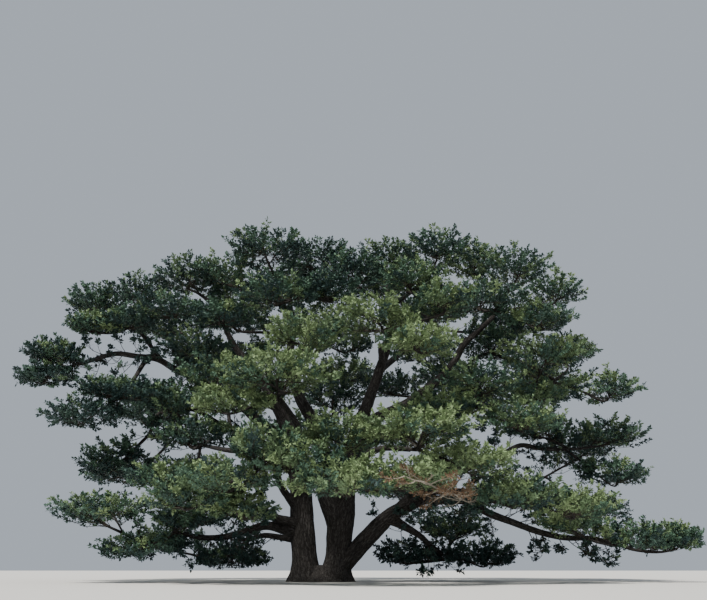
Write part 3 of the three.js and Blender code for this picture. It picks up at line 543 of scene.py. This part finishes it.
class Soup:
    """Vertices and faces of one kind, gathered until they are made into a piece. A grained one also
    keeps where each vertex is on its limb."""

    def __init__(self, grained=False):
        self.vertices, self.faces, self.grains, self.count = [], [], [], 0
        self.grained = grained

    def add(self, vertices, faces, grain=None):
        self.vertices.append(np.asarray(vertices, np.float32).reshape(-1, 3))
        self.faces.append(np.asarray(faces, np.int32) + self.count)
        self.count += len(self.vertices[-1])
        if self.grained:
            self.grains.append(np.asarray(grain, np.float32).reshape(-1, 3))

    def piece(self, name, material, smooth=False):
        vertices = np.vstack(self.vertices)
        faces = np.vstack(self.faces)
        mesh = bpy.data.meshes.new(name)
        mesh.vertices.add(len(vertices))
        mesh.vertices.foreach_set("co", vertices.ravel())
        mesh.loops.add(faces.size)
        mesh.loops.foreach_set("vertex_index", faces.ravel())
        mesh.polygons.add(len(faces))
        mesh.polygons.foreach_set("loop_start", np.arange(0, faces.size, faces.shape[1], dtype=np.int32))
        mesh.polygons.foreach_set("use_smooth", np.full(len(faces), smooth))
        if self.grained:
            grain = mesh.attributes.new(GRAIN, "FLOAT_VECTOR", "POINT")
            grain.data.foreach_set("vector", np.vstack(self.grains).ravel())
        mesh.update(calc_edges=True)
        mesh.validate()
        mesh.materials.append(material)
        piece = bpy.data.objects.new(name, mesh)
        bpy.context.scene.collection.objects.link(piece)
        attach(piece, "root")
        return piece


def grid_faces(rows, columns):
    """Quads between rings of points."""
    i, j = np.meshgrid(np.arange(rows - 1), np.arange(columns), indexing="ij")
    k = (j + 1) % columns
    quads = np.stack([i * columns + j, i * columns + k, (i + 1) * columns + k, (i + 1) * columns + j], -1)
    return quads.reshape(-1, 4)


def carried_frames(middles):
    """Two directions square to the way at each point, turned as little as can be between points."""
    ways = unit(np.gradient(middles, axis=0))
    normal = frame_of(ways[0])[0]
    normals = []
    for way in ways:
        normal = unit(normal - way * normal.dot(way))
        normals.append(normal)
    normals = np.array(normals)
    return normals, np.cross(ways, normals)


def tube(middles, radii, sides):
    """Rings of points around a line, with radii for each ring or for each point."""
    normals, binormals = carried_frames(middles)
    turn = around(sides)[..., None]
    radii = np.broadcast_to(np.asarray(radii).reshape(len(middles), -1), (len(middles), sides))[..., None]
    spokes = np.cos(turn) * normals[:, None] + np.sin(turn) * binormals[:, None]
    return middles[:, None] + radii * spokes


def straightened(turn, radii, along):
    """Where the points of a limb would be if it were straight, to draw its bark by."""
    return np.stack(np.broadcast_arrays(np.cos(turn) * radii, np.sin(turn) * radii, along), -1)


def add_tube(soup, middles, radii, sides):
    """A tube that draws in to a point at its far end."""
    radii = np.array(radii, float)
    radii[-1] *= TIP_SHARE
    rings = tube(middles, radii, sides)
    steps = np.linalg.norm(np.diff(middles, axis=0), axis=1)
    along = middles[0].sum() + np.concatenate([[0], np.cumsum(steps)])
    grain = straightened(around(sides), radii[:, None], along[:, None])
    soup.add(rings.reshape(-1, 3), grid_faces(len(middles), sides), grain)


# Limbs and their bark


def waves(kind, along, turn, phase):
    height, rate, number = kind
    return height * np.sin(rate * along + number * turn + phase)


def furrows(turn, along, radius, phase):
    """The relief of ridges that meet and part again, in metres, for a limb of that radius."""
    mean = float(np.mean(radius))
    ridges = max(FEWEST_RIDGES, round(2 * math.pi * mean / RIDGE_WIDTH))
    wander = waves(DRIFT, along, turn, phase) + waves(CURL, along, turn, 2 * phase)
    slant = RIDGE_SLANT * along / max(mean, SLANT_RADIUS)
    left = np.abs(np.sin(ridges * turn / 2 + slant + wander))
    right = np.abs(np.sin(ridges * turn / 2 - slant + RIGHT_WANDER * wander + RIGHT_PHASE * phase))
    ridge = np.minimum(left, right) ** RIDGE_ROUNDING - np.abs(waves(BREAKS, along, turn, wander))
    ripple = RIPPLE * radius * (waves(SWELL, along, turn, phase) + waves(TWIST, along, turn, 0))
    return (ridge - RIDGE_MIDDLE) * np.minimum(FURROW_DEPTH, FURROW_SHARE * radius) + ripple


def add_limb(soup, curve, radii_at, sides, spacing, phase, collar=0.0, swelling=0.0, lobes=0):
    """A limb with bark relief. It swells by a share of its radius towards its root, over the collar."""
    rows = max(FEWEST_ROWS, round(curve.length / spacing) + 1)
    u = np.linspace(0, 1, rows)
    along = (u * curve.length)[:, None]
    turn = around(sides)
    radii = radii_at(u)[:, None]
    if collar:
        lobed = 1 + LOBE_DEPTH * np.cos(lobes * turn + phase) if lobes else 1
        radii = radii * (1 + swelling * lobed * np.exp(-((along / collar) ** 2)))
    relief = radii + furrows(turn, along, radii, phase)
    relief[-1] *= TIP_SHARE
    rings = tube(curve.at(u), relief, sides)
    rings[..., 2] = np.maximum(rings[..., 2], 0)
    grain = straightened(turn, radii, along + GRAIN_SHIFT * phase)
    soup.add(rings.reshape(-1, 3), grid_faces(rows, sides), grain)


def eased(values, u):
    """Values at even steps, read between them along smooth steps."""
    at = np.clip(u * (len(values) - 1), 0, len(values) - 1 - TINY)
    i = np.floor(at).astype(int)
    t = at - i
    values = np.array(values)
    return values[i] + (values[i + 1] - values[i]) * t * t * (3 - 2 * t)


def thinned(root, tip, u):
    return root + (tip - root) * u**BOUGH_TAPER


def bough_curve(row, limbs, random):
    """A bough winds a little: the middle of each stretch but the first is pushed aside at random."""
    parent, at, _, _, bends = row
    marks = [limbs[parent].at(at), *(place(*bend) for bend in bends)]
    points = [marks[0]]
    for i in range(1, len(marks)):
        stretch = marks[i] - marks[i - 1]
        aside, over = frame_of(unit(stretch))
        push = np.linalg.norm(stretch) * WINDING if i > 1 else 0
        middle = (marks[i] + marks[i - 1]) / 2
        middle = middle + aside * push * (2 * random() - 1)
        middle = middle + over * push * (2 * random() - 1)
        points += [middle, marks[i]]
    return Curve(points)


def flare_rings():
    """The flare, closed over by a rounded crotch between the stems."""
    turn = around(FLARE_SIDES)
    level = np.sin(np.linspace(0, math.pi / 2, FLARE_ROWS))[:, None]
    spread = (1 - level) ** FLARE_CURL
    closing = (1 - level**FLARE_DOME) ** (1 / FLARE_DOME)
    hollow = (1 - FLARE_DEPTH * spread * (1 - np.cos(FLARE_ROOTS * turn))) * closing
    across = (FLARE_WAIST[0] + (FLARE_FOOT[0] - FLARE_WAIST[0]) * spread) * hollow
    deep = (FLARE_WAIST[1] + (FLARE_FOOT[1] - FLARE_WAIST[1]) * spread) * hollow
    height = level * FLARE_HEIGHT
    relief = furrows(turn, height, np.full_like(across, FLARE_BARK_RADIUS), FLARE_PHASE)
    relief = relief * np.clip(height / FLARE_BARK_START, 0, 1) * closing - FLARE_BARK_INSET
    relief[-1] = 0
    x = FLARE_ACROSS + (across + relief) * np.cos(turn)
    return np.stack([x, (deep + relief) * np.sin(turn), height + 0 * turn], -1)


def grow_limbs():
    """Every limb, with its middle line by name, and the bark of the stems and of the boughs."""
    limbs, radii, stems, boughs = {}, {}, Soup(grained=True), Soup(grained=True)
    rings = flare_rings()
    stems.add(rings.reshape(-1, 3), grid_faces(len(rings), rings.shape[1]), rings)
    for i, (name, row) in enumerate(STEMS.items()):
        limbs[name] = Curve(row["line"])
        radii[name] = partial(eased, row["radii"])
        add_limb(
            stems, limbs[name], radii[name], STEM_SIDES, STEM_SPACING, STEM_PHASE_STEP * i + STEM_PHASE,
            FOOT_REACH, FOOT_SWELLING, FOOT_LOBES,
        )
    for i, (name, row) in enumerate(BOUGHS.items()):
        parent, at, root, tip, _ = row
        limbs[name] = bough_curve(row, limbs, Seeded(SEED + BOUGH_SEED_STEP * i))
        radii[name] = partial(thinned, root, tip)
        sides = BOUGH_SIDES + 2 * round(root / BOUGH_SIDES_STEP)
        collar = COLLAR_REACH + 2 * root if at < GOES_ON else 0
        swelling = min(COLLAR_SWELLING, COLLAR_LIMIT * float(radii[parent](at)) / root - 1)
        add_limb(
            boughs, limbs[name], radii[name], sides, BOUGH_SPACING, BOUGH_PHASE_STEP * i, collar, swelling
        )
    return limbs, stems, boughs


# Foliage


class Node:
    """A bend, fork or end in the twigs of a mass, with the twig that leads to it."""

    def __init__(self, at, parent):
        self.at = at
        self.parent = parent
        self.way = parent.way + np.linalg.norm(parent.at - at) if parent else 0.0
        self.load = 0  # sprays of the solids that the twig carries
        # Each tip's sunnier share: painted sunlight from its height in its pad, plus its pad's random tone.
        self.tips = []  # of the branchlets that leave it, each with how much sunnier it is
        self.leads = False  # whether the twig goes on from the one before
        self.root = at  # where the twig starts


def dome_points(first, count, middle, half):
    """Points spread evenly over the dome of a pad, as ways from its middle."""
    i = np.arange(first, first + count)
    turn = math.atan2(middle[1], middle[0]) + 2 * math.pi * i / PLASTIC
    rise = DOME_FLOOR + (DOME_TOP - DOME_FLOOR) * ((FIRST_RISE + i / PLASTIC**2) % 1)
    flat = np.sqrt(1 - rise**2)
    return np.stack([flat * np.cos(turn), flat * np.sin(turn), rise], -1) * half


def pad_points(pad):
    """What one pad holds. Each tip has its load, which is nothing for the finer sprays."""
    across, deep, up, width, height = pad
    middle = place(across, deep, up)
    half = np.array([width, width, height]) / 2
    count = max(FEWEST_SPRAYS, math.floor(SPRAYS_PER_AREA * math.pi * width**2 / 4 + 0.5))
    twigs = math.floor(count / SPRAYS_PER_TWIG + 0.5)
    tips = dome_points(0, count, middle, half) + middle
    ends = dome_points(count, twigs, middle, half) * TWIG_SHARE + middle - (0, 0, TWIG_DROP * half[2])
    finer = dome_points(count + twigs, count * (FINE_SPRAYS - 1), middle, half)
    finer *= chance.uniform(FINE_DEEPEST, 1.0, (len(finer), 1))
    return {
        "hub": middle - (0, 0, HUB_DROP * half[2]),
        "ends": list(ends),
        "tips": [(tip, 1) for tip in tips] + [(tip + middle, 0) for tip in finer],
        "middle": middle,
        "half": half,
        "sunny": chance.normal(0, SUNNY_PADS),
    }


def skeleton(curve, pads, random):
    """The twigs of a mass as a tree of nodes, from the stem that meets the bough's tip."""
    along = curve.tangent(1)
    start = curve.at(1) + along * GAP
    nodes = []

    def add(at, parent):
        nodes.append(Node(at, parent))
        return nodes[-1]

    def nearest(at, detour):
        return min(nodes[1:], key=lambda node: np.linalg.norm(node.at - at) + detour * node.way)

    add(start + along * NECK, add(start, None))
    grown = sorted((pad_points(pad) for pad in pads), key=lambda pad: np.linalg.norm(pad["hub"] - start))
    for pad in grown:
        hub = pad["hub"]
        parent = nearest(hub, DETOUR)
        aside = np.array([2 * random() - 1, 2 * random() - 1, random() - 0.5])
        bend = (parent.at + hub) / 2 + aside * BEND_PUSH * np.linalg.norm(hub - parent.at)
        add(hub, add(bend, parent))
        for end in sorted(pad["ends"], key=lambda end: np.linalg.norm(end - hub)):
            add(end, nearest(end, DETOUR))
        for tip, load in pad["tips"]:
            node = nearest(tip, 0)
            rise = (tip[2] - pad["middle"][2]) / pad["half"][2]
            # Painted sunlight: a tip higher in its pad gets a sunnier leaf colour.
            node.tips.append((tip, pad["sunny"] + SUNNY_TOP * rise))
            node.load += load
    for node in reversed(nodes[1:]):
        node.parent.load += node.load
    for node in nodes:
        heirs = sorted((other for other in nodes if other.parent is node), key=lambda heir: -heir.load)
        for rank, heir in enumerate(heirs):
            heir.leads = rank == 0
            heir.root = node.at
            if rank and node.parent:
                heir.root = node.at + (node.parent.at - node.at) * SIDE_TWIG_DROP * rank
    return nodes


def grow_twigs(soup, nodes, limit):
    """Each twig goes on through the nodes that lead, and thins as it gives off others."""
    for first in nodes[1:]:
        if first.leads and first is not nodes[1]:
            continue
        run = [first]
        while heirs := [node for node in nodes if node.leads and node.parent is run[-1]]:
            run.append(heirs[0])
        curve = Curve([first.root, *(node.at for node in run)])
        radii = [min(TWIG_RADIUS * math.sqrt(max(node.load, 1)), limit) for node in run]
        rows = max(TWIG_FEWEST_ROWS, round(curve.length / TWIG_SPACING))
        u = np.linspace(0, 1, rows)
        thick = np.interp(u, np.linspace(0, 1, len(run) + 1), [radii[0], *radii])
        thick = thick * (1 - TWIG_TAPER * u) + TWIG_SLIMMEST * TWIG_TAPER * u
        add_tube(soup, curve.at(u), thick, TWIG_SIDES)


def branchlet_rows(nodes, bough):
    """For each branchlet: its root on a twig, its tip, and how sunny its leaves are painted."""
    rows = []
    for node in nodes[1:]:
        back = node.root - node.at
        for tip, sunnier in node.tips:
            root = node.at + back * chance.uniform(0, BRANCHLET_BACK)
            # Painted light: the mass's painted sunlight and the tip's height in its pad, plus random tone
            # between sprays.
            sunny = SUNNY.get(bough, SUNNY_ELSEWHERE) + sunnier + chance.normal(0, SUNNY_SPREAD)
            rows.append((root, tip, sunny))
    return rows


def spread_along(roots, tips, sag):
    """The middle lines of branchlets, that leave low and rise towards their tips."""
    t = np.linspace(0, 1, BRANCHLET_POINTS)[None, :, None]
    lengths = np.linalg.norm(tips - roots, axis=1)[:, None]
    turn = (roots + tips) / 2 + chance.normal(0, BRANCHLET_SWAY, roots.shape) * lengths
    turn[:, 2:] -= sag * lengths
    return (1 - t) ** 2 * roots[:, None] + 2 * t * (1 - t) * turn[:, None] + t**2 * tips[:, None]


def add_slim(soup, lines, radii):
    """Three-sided twigs along lines of points, all at once, with a radius for each point of a line."""
    count, rows = lines.shape[:2]
    spokes = three_spokes(unit(np.gradient(lines, axis=1)))
    points = lines[:, :, None] + radii[None, :, None, None] * spokes
    faces = np.arange(count)[:, None, None] * rows * 3 + grid_faces(rows, 3)
    soup.add(points.reshape(-1, 3), faces.reshape(-1, 4))


def add_spikes(soup, roots, tips, radius):
    """Three-sided twiglets that narrow to a point, all at once."""
    roots, tips = roots.reshape(-1, 3), tips.reshape(-1, 3)
    foot = roots[:, None] + radius * three_spokes(unit(tips - roots))
    first = np.arange(len(roots))[:, None, None] * 4
    sides = np.array([[0, 1, 3], [1, 2, 3], [2, 0, 3]])
    soup.add(np.concatenate([foot, tips[:, None]], 1).reshape(-1, 3), (first + sides).reshape(-1, 3))


def grow_twiglets(lines):
    """Twiglets that leave their branchlets by turns left and right, closer together towards its tip, and
    spread there into a rounded tuft. Returns their roots, ways and lengths, a row for each branchlet."""
    count, points = lines.shape[:2]
    t = TUFT_START + (1 - TUFT_START) * np.linspace(0, 1, TWIGLETS) ** TUFT_CROWDING
    t = np.clip(t[None] + chance.uniform(-TWIGLET_JITTER, TWIGLET_JITTER, (count, TWIGLETS)), 0, 1)
    at = t * (points - 1)
    i = np.clip(at.astype(int), 0, points - 2)
    share = (at - i)[..., None]
    row = np.arange(count)[:, None]
    roots = lines[row, i] * (1 - share) + lines[row, i + 1] * share
    ways = unit(lines[row, i + 1] - lines[row, i])
    side = unit(np.cross(ways, UP) + chance.normal(0, TWIGLET_TILT, ways.shape))
    aside = chance.uniform(*TWIGLET_SPREAD, (count, TWIGLETS, 1)) * by_turns(TWIGLETS)[None, :, None] * side
    lift = chance.uniform(*TWIGLET_LIFT, (count, TWIGLETS, 1)) * UP
    ways = unit(TWIGLET_ONWARD * ways + aside + lift + chance.normal(0, TWIGLET_STRAY, ways.shape))
    lengths = TWIGLET_LENGTH * chance.uniform(*TWIGLET_LENGTHS, (count, TWIGLETS))
    return roots, ways, lengths * (TWIGLET_FIRST - TWIGLET_SHORTENING * t)


def grow_leaves(roots, ways, lengths, number=LEAVES, size=LEAF_LENGTH):
    """Leaves that wind round twiglets, and lean on towards their ends. Each is a kite, folded along its
    middle. Returns the four corners of each."""
    roots, ways, lengths = roots.reshape(-1, 3), ways.reshape(-1, 3), lengths.ravel()
    count = len(roots)
    jitter = chance.uniform(-LEAF_JITTER, LEAF_JITTER, (count, number))
    t = np.linspace(LEAF_START, 1, number) + jitter
    roots = roots[:, None] + ways[:, None] * (lengths[:, None] * t)[..., None]
    side = unit(np.cross(ways, chance.normal(0, LEAF_TILT, ways.shape) + UP))[:, None]
    over = np.cross(side, ways[:, None])
    turn = (chance.uniform(0, 2 * math.pi, (count, 1)) + np.arange(number) * LEAF_TURN)[..., None]
    out = FLATTEN * np.sin(turn) * over + np.cos(turn) * side
    stray = chance.normal(0, LEAF_STRAY, (count, number, 3))
    lean = np.linspace(*LEAF_LEAN, number)[:, None]
    ways = unit(lean * ways[:, None] + out + stray)
    long = size * chance.uniform(*LEAF_LENGTHS, (count, number, 1))
    wide = unit(np.cross(ways, chance.normal(0, LEAF_ROLL, ways.shape) + UP))
    over = np.cross(wide, ways)
    half = wide * long * LEAF_WIDTH / 2
    middle = roots + ways * long * LEAF_WIDEST + over * long * LEAF_WIDTH * LEAF_FOLD
    kites = np.stack([roots, middle + half, roots + ways * long, middle - half], -2)
    return kites.reshape(-1, 4, 3)


def in_reach(kites):
    """Which leaves keep inside the reach of the solids and off the ground."""
    low = np.array([LOW[0], LOW[1], LEAF_HEADROOM])
    return ((kites > low) & (kites < HIGH)).all(axis=(1, 2))


def add_leaves(soup, kites):
    first = np.arange(len(kites))[:, None, None] * 4
    faces = first + np.array([[0, 1, 2], [0, 2, 3]])
    soup.add(kites.reshape(-1, 3), faces.reshape(-1, 3))


def shoot_ends(curve, start):
    """Where the shoots of a limb start and end."""
    u = np.arange(start * curve.length, curve.length, SHOOT_SPACING) / curve.length
    roots = curve.at(u)
    ways = curve.tangent(u)
    side = unit(np.cross(ways, ASLANT))
    turn = chance.uniform(0, 2 * math.pi, (len(u), 1))
    out = np.cos(turn) * side + np.sin(turn) * np.cross(ways, side)
    out[:, 2] -= chance.uniform(0, SHOOT_DROP, len(u))
    lengths = chance.uniform(*SHOOT_LENGTHS, (len(u), 1))
    tips = roots + unit(out + SHOOT_LEAN * ways) * lengths
    tips[:, 2] = np.maximum(tips[:, 2], SHOOT_HEADROOM)
    return roots, tips


def grow_shoots(branchlets, twiglets, curve, start):
    """The shoots of a limb, each forking. Returns the leaves, a row for each fork."""
    lines = spread_along(*shoot_ends(curve, start), BRANCHLET_SAG)
    add_slim(branchlets, lines, SHOOT_RADIUS * BRANCHLET_TAPER)
    starts, ways, lengths = (part[:, ::SHOOT_FORK_STEP] for part in grow_twiglets(lines))
    ends = starts + ways * SHOOT_FORK_LENGTH * lengths[..., None]
    ends[..., 2] = np.maximum(ends[..., 2], SHOOT_HEADROOM)
    return grow_sprays(branchlets, twiglets, starts.reshape(-1, 3), ends.reshape(-1, 3), SHOOT_LEAFY)


def grow_sprays(branchlets, twiglets, roots, tips, leafy):
    """Branchlets with their twiglets. Returns the leaves of the last ones, a row for each branchlet."""
    lines = spread_along(roots, tips, BRANCHLET_SAG)
    add_slim(branchlets, lines, BRANCHLET_RADIUS * BRANCHLET_TAPER)
    starts, ways, lengths = grow_twiglets(lines)
    ends = starts + ways * lengths[..., None]
    add_spikes(twiglets, starts, ends, TWIGLET_RADIUS)
    kites = grow_leaves(starts[:, -leafy:], ways[:, -leafy:], lengths[:, -leafy:])
    return kites.reshape(len(lines), -1, 4, 3)


def shades(sunny):
    """The number of the leaf colour, from painted shade to painted sunlight, for each spray."""
    return np.clip((sunny * len(LEAF_SHADE_TO_SUN_COLOURS)).astype(int), 0, len(LEAF_SHADE_TO_SUN_COLOURS) - 1)


def grow_masses(limbs):
    """Twigs and leaves of every mass. The leaves are kept apart by colour, from painted shade to painted
    sunlight, each with its mass's name.
    """
    twigs, branchlets, twiglets = Soup(grained=True), Soup(), Soup()
    leaves = {name: [] for name in LEAF_SHADE_TO_SUN_COLOURS}
    for i, (bough, pads) in enumerate(PADS.items()):
        nodes = skeleton(limbs[bough], pads, Seeded(SEED + MASS_SEED_STEP * (i + 1)))
        grow_twigs(twigs, nodes, BOUGHS[bough][3] * STEM_SHARE)
        roots, tips, sunny = (np.array(column) for column in zip(*branchlet_rows(nodes, bough)))
        grown = [(grow_sprays(branchlets, twiglets, roots, tips, TWIGLETS), shades(sunny))]
        for limb, start in SHOOTING.get(bough, {}).items():
            kites = grow_shoots(branchlets, twiglets, limbs[limb], start)
            # The leaves of the shoots get colours near painted shade.
            grown.append((kites, shades(chance.normal(SHOOT_SUNNY, SUNNY_SPREAD, len(kites)))))
        for k, colour in enumerate(LEAF_SHADE_TO_SUN_COLOURS):
            chosen = np.vstack([kites[shade == k].reshape(-1, 4, 3) for kites, shade in grown])
            leaves[colour].append((bough + "_foliage", chosen[in_reach(chosen)]))
    return twigs, branchlets, twiglets, leaves


def grow_dead_bough(limbs):
    """The wood of the dead bough, and the leaves that it still holds."""
    wood, leaves = Soup(), Soup()
    _, _, root, tip, _ = DEAD_BOUGH
    curve = bough_curve(DEAD_BOUGH, limbs, Seeded(SEED))
    u = np.linspace(0, 1, DEAD_ROWS)
    add_tube(wood, curve.at(u), thinned(root, tip, u), DEAD_SIDES)
    u = np.linspace(DEAD_TWIG_START, 1, DEAD_TWIGS)
    roots = curve.at(u)
    ways = curve.tangent(u)
    side = unit(np.cross(ways, UP)) * by_turns(DEAD_TWIGS)[:, None]
    ways = unit(DEAD_TWIG_ONWARD * ways + side + chance.normal(0, DEAD_TWIG_STRAY, ways.shape))
    long = chance.uniform(*DEAD_TWIG_LENGTHS, (DEAD_TWIGS, 1))
    lines = spread_along(roots, roots + ways * DEAD_TWIG_LENGTH * long, DEAD_TWIG_SAG)
    add_slim(wood, lines, DEAD_TWIG_RADIUS * BRANCHLET_TAPER)
    starts, ways, lengths = grow_twiglets(lines)
    ends = starts + ways * lengths[..., None]
    add_slim(wood, np.stack([starts, ends], 2).reshape(-1, 2, 3), TWIGLET_RADIUS * DEAD_TWIGLET_TAPER)
    dry = u > DRY_START
    kites = grow_leaves(starts[dry], ways[dry], lengths[dry], DRY_LEAVES, DRY_LEAF_LENGTH)
    add_leaves(leaves, kites[in_reach(kites)])
    return wood, leaves


# Materials


def plain(name, colour, roughness):
    material = bpy.data.materials.new(name)
    material.use_nodes = True
    shader = material.node_tree.nodes["Principled BSDF"]
    shader.inputs["Base Color"].default_value = (*colour, 1)
    shader.inputs["Roughness"].default_value = roughness
    shader.inputs["Specular IOR Level"].default_value = SPECULAR
    return material


def add_node(tree, kind, values=None, **links):
    """A shader node, with values for some of its inputs and other nodes' outputs linked to others."""
    node = tree.nodes.new("ShaderNode" + kind)
    for name, value in (values or {}).items():
        node.inputs[name].default_value = value
    for name, output in links.items():
        tree.links.new(output, node.inputs[name])
    return node


def colour_sockets(sockets):
    return [socket for socket in sockets if socket.type == "RGBA"]


def bark_material():
    """Dark grey brown bark: long streaks, plates between dark cracks, and a fine grain."""
    material = plain("bark", BARK_COLOUR, roughness=0.92)
    tree = material.node_tree
    link = tree.links.new
    shader = tree.nodes["Principled BSDF"]

    on_limb = add_node(tree, "Attribute")
    on_limb.attribute_name = GRAIN
    stretch = add_node(tree, "Mapping", {"Scale": BARK_STRETCH}, Vector=on_limb.outputs["Vector"])
    stretched = stretch.outputs["Vector"]

    streaks = add_node(tree, "TexNoise", STREAKS, Vector=stretched)
    tint = add_node(tree, "ValToRGB", Fac=streaks.outputs["Fac"])
    for end, (position, colour) in zip(tint.color_ramp.elements, STREAK_COLOURS):
        end.position = position
        end.color = (*colour, 1)

    wander = add_node(tree, "TexNoise", CRACK_WANDER, Vector=stretched)
    warped = add_node(tree, "VectorMath")
    warped.operation = "MULTIPLY_ADD"
    warped.inputs[1].default_value = CRACK_WARP
    link(wander.outputs["Color"], warped.inputs[0])
    link(stretched, warped.inputs[2])
    cracks = add_node(tree, "TexVoronoi", CRACKS, Vector=warped.outputs["Vector"])
    cracks.feature = "DISTANCE_TO_EDGE"
    plates = add_node(tree, "MapRange", {"From Max": CRACK_WIDTH}, Value=cracks.outputs["Distance"])

    # The cracks are darkened: partly their own dark colour, partly painted shade.
    darken = add_node(tree, "Mix")
    darken.data_type = "RGBA"
    in_shaded_cracks, on_plates = colour_sockets(darken.inputs)
    in_shaded_cracks.default_value = (*SHADED_CRACK_COLOUR, 1)
    link(tint.outputs["Color"], on_plates)
    link(plates.outputs["Result"], darken.inputs["Factor"])
    link(colour_sockets(darken.outputs)[0], shader.inputs["Base Color"])

    grain = add_node(tree, "TexNoise", FINE_GRAIN, Vector=stretched)
    height = add_node(tree, "Math")
    height.operation = "ADD"
    link(grain.outputs["Fac"], height.inputs[0])
    link(plates.outputs["Result"], height.inputs[1])
    bump = add_node(tree, "Bump", BARK_BUMP, Height=height.outputs["Value"])
    link(bump.outputs["Normal"], shader.inputs["Normal"])
    return material


# The tree


def finish_piece(soup, name, material, nodes, smooth=False):
    """A piece from a soup. The nodes that it replaces are hidden."""
    piece = soup.piece(name, material, smooth)
    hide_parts(*nodes)


def bounded_groups(batches):
    """The batches in their order, in groups that keep to the most triangles in a piece."""
    groups, count = [[]], 0
    for mass, kites in batches:
        triangles = 2 * len(kites)
        if count and count + triangles > MOST_TRIANGLES:
            groups.append([])
            count = 0
        groups[-1].append((mass, kites))
        count += triangles
    return groups


def make_leaf_pieces(leaves):
    for colour, batches in leaves.items():
        # A material for each step from painted shade to painted sunlight on the leaves.
        material = plain("leaf_" + colour, LEAF_SHADE_TO_SUN_COLOURS[colour], roughness=0.62)
        for number, group in enumerate(bounded_groups(batches), 1):
            soup = Soup()
            add_leaves(soup, np.vstack([kites for _, kites in group]))
            held = [mass for mass, kites in group if len(kites)]
            finish_piece(soup, f"leaves_{colour}_{number}", material, held)


limbs, stem_soup, bough_soup = grow_limbs()
twig_soup, branchlet_soup, twiglet_soup, leaf_batches = grow_masses(limbs)
bark = bark_material()
twig_bark = plain("twig_bark", TWIG_COLOUR, roughness=0.85)
masses = [bough + "_foliage" for bough in PADS]
finish_piece(stem_soup, "stem_bark", bark, ["trunk", *STEMS], smooth=True)
finish_piece(bough_soup, "bough_bark", bark, list(BOUGHS), smooth=True)
finish_piece(twig_soup, "twigs", bark, masses, smooth=True)
finish_piece(branchlet_soup, "branchlets", twig_bark, masses)
finish_piece(twiglet_soup, "twiglets", twig_bark, masses)
make_leaf_pieces(leaf_batches)
dead_soup, dry_soup = grow_dead_bough(limbs)
dead_bark = plain("dead_wood", DEAD_COLOUR, roughness=0.85)
dry_leaf = plain("dry_leaf", DRY_COLOUR, roughness=0.8)
finish_piece(dead_soup, "dead_wood", dead_bark, ["right_front_foliage"])
finish_piece(dry_soup, "dry_leaves", dry_leaf, ["right_front_foliage"])

# The stage, the light and the camera

floor_mesh = bpy.data.meshes.new("floor")
floor_corners = [(FLOOR_REACH * x, FLOOR_REACH * y, 0) for x, y in ((-1, -1), (1, -1), (1, 1), (-1, 1))]
floor_mesh.from_pydata(floor_corners, [], [(0, 1, 2, 3)])
floor_mesh.materials.append(plain("floor", FLOOR_COLOUR, roughness=0.9))
floor = bpy.data.objects.new("floor", floor_mesh)
bpy.context.scene.collection.objects.link(floor)

world = bpy.data.worlds.new("studio")
world.use_nodes = True
background = world.node_tree.nodes["Background"]
background.inputs["Color"].default_value = (*SKY_COLOUR, 1)
background.inputs["Strength"].default_value = SKY_STRENGTH
bpy.context.scene.world = world

sun = bpy.data.objects.new("key_light", bpy.data.lights.new("key_light", "SUN"))
sun.data.energy = SUN_STRENGTH
sun.data.angle = SUN_BREADTH
sun.data.color = SUN_COLOUR
sun.rotation_euler = (SUN_TILT, 0, SUN_TURN)
bpy.context.scene.collection.objects.link(sun)

camera = bpy.data.objects.new("camera", bpy.data.cameras.new("camera"))
camera.location = (EYE_ACROSS, EYE_DEEP, EYE_UP)
camera.rotation_euler = (math.radians(90) + PITCH, 0, 0)
camera.data.sensor_width = SENSOR_WIDTH
camera.data.lens = FOCAL
camera.data.clip_end = 500
bpy.context.scene.collection.objects.link(camera)
bpy.context.scene.camera = camera
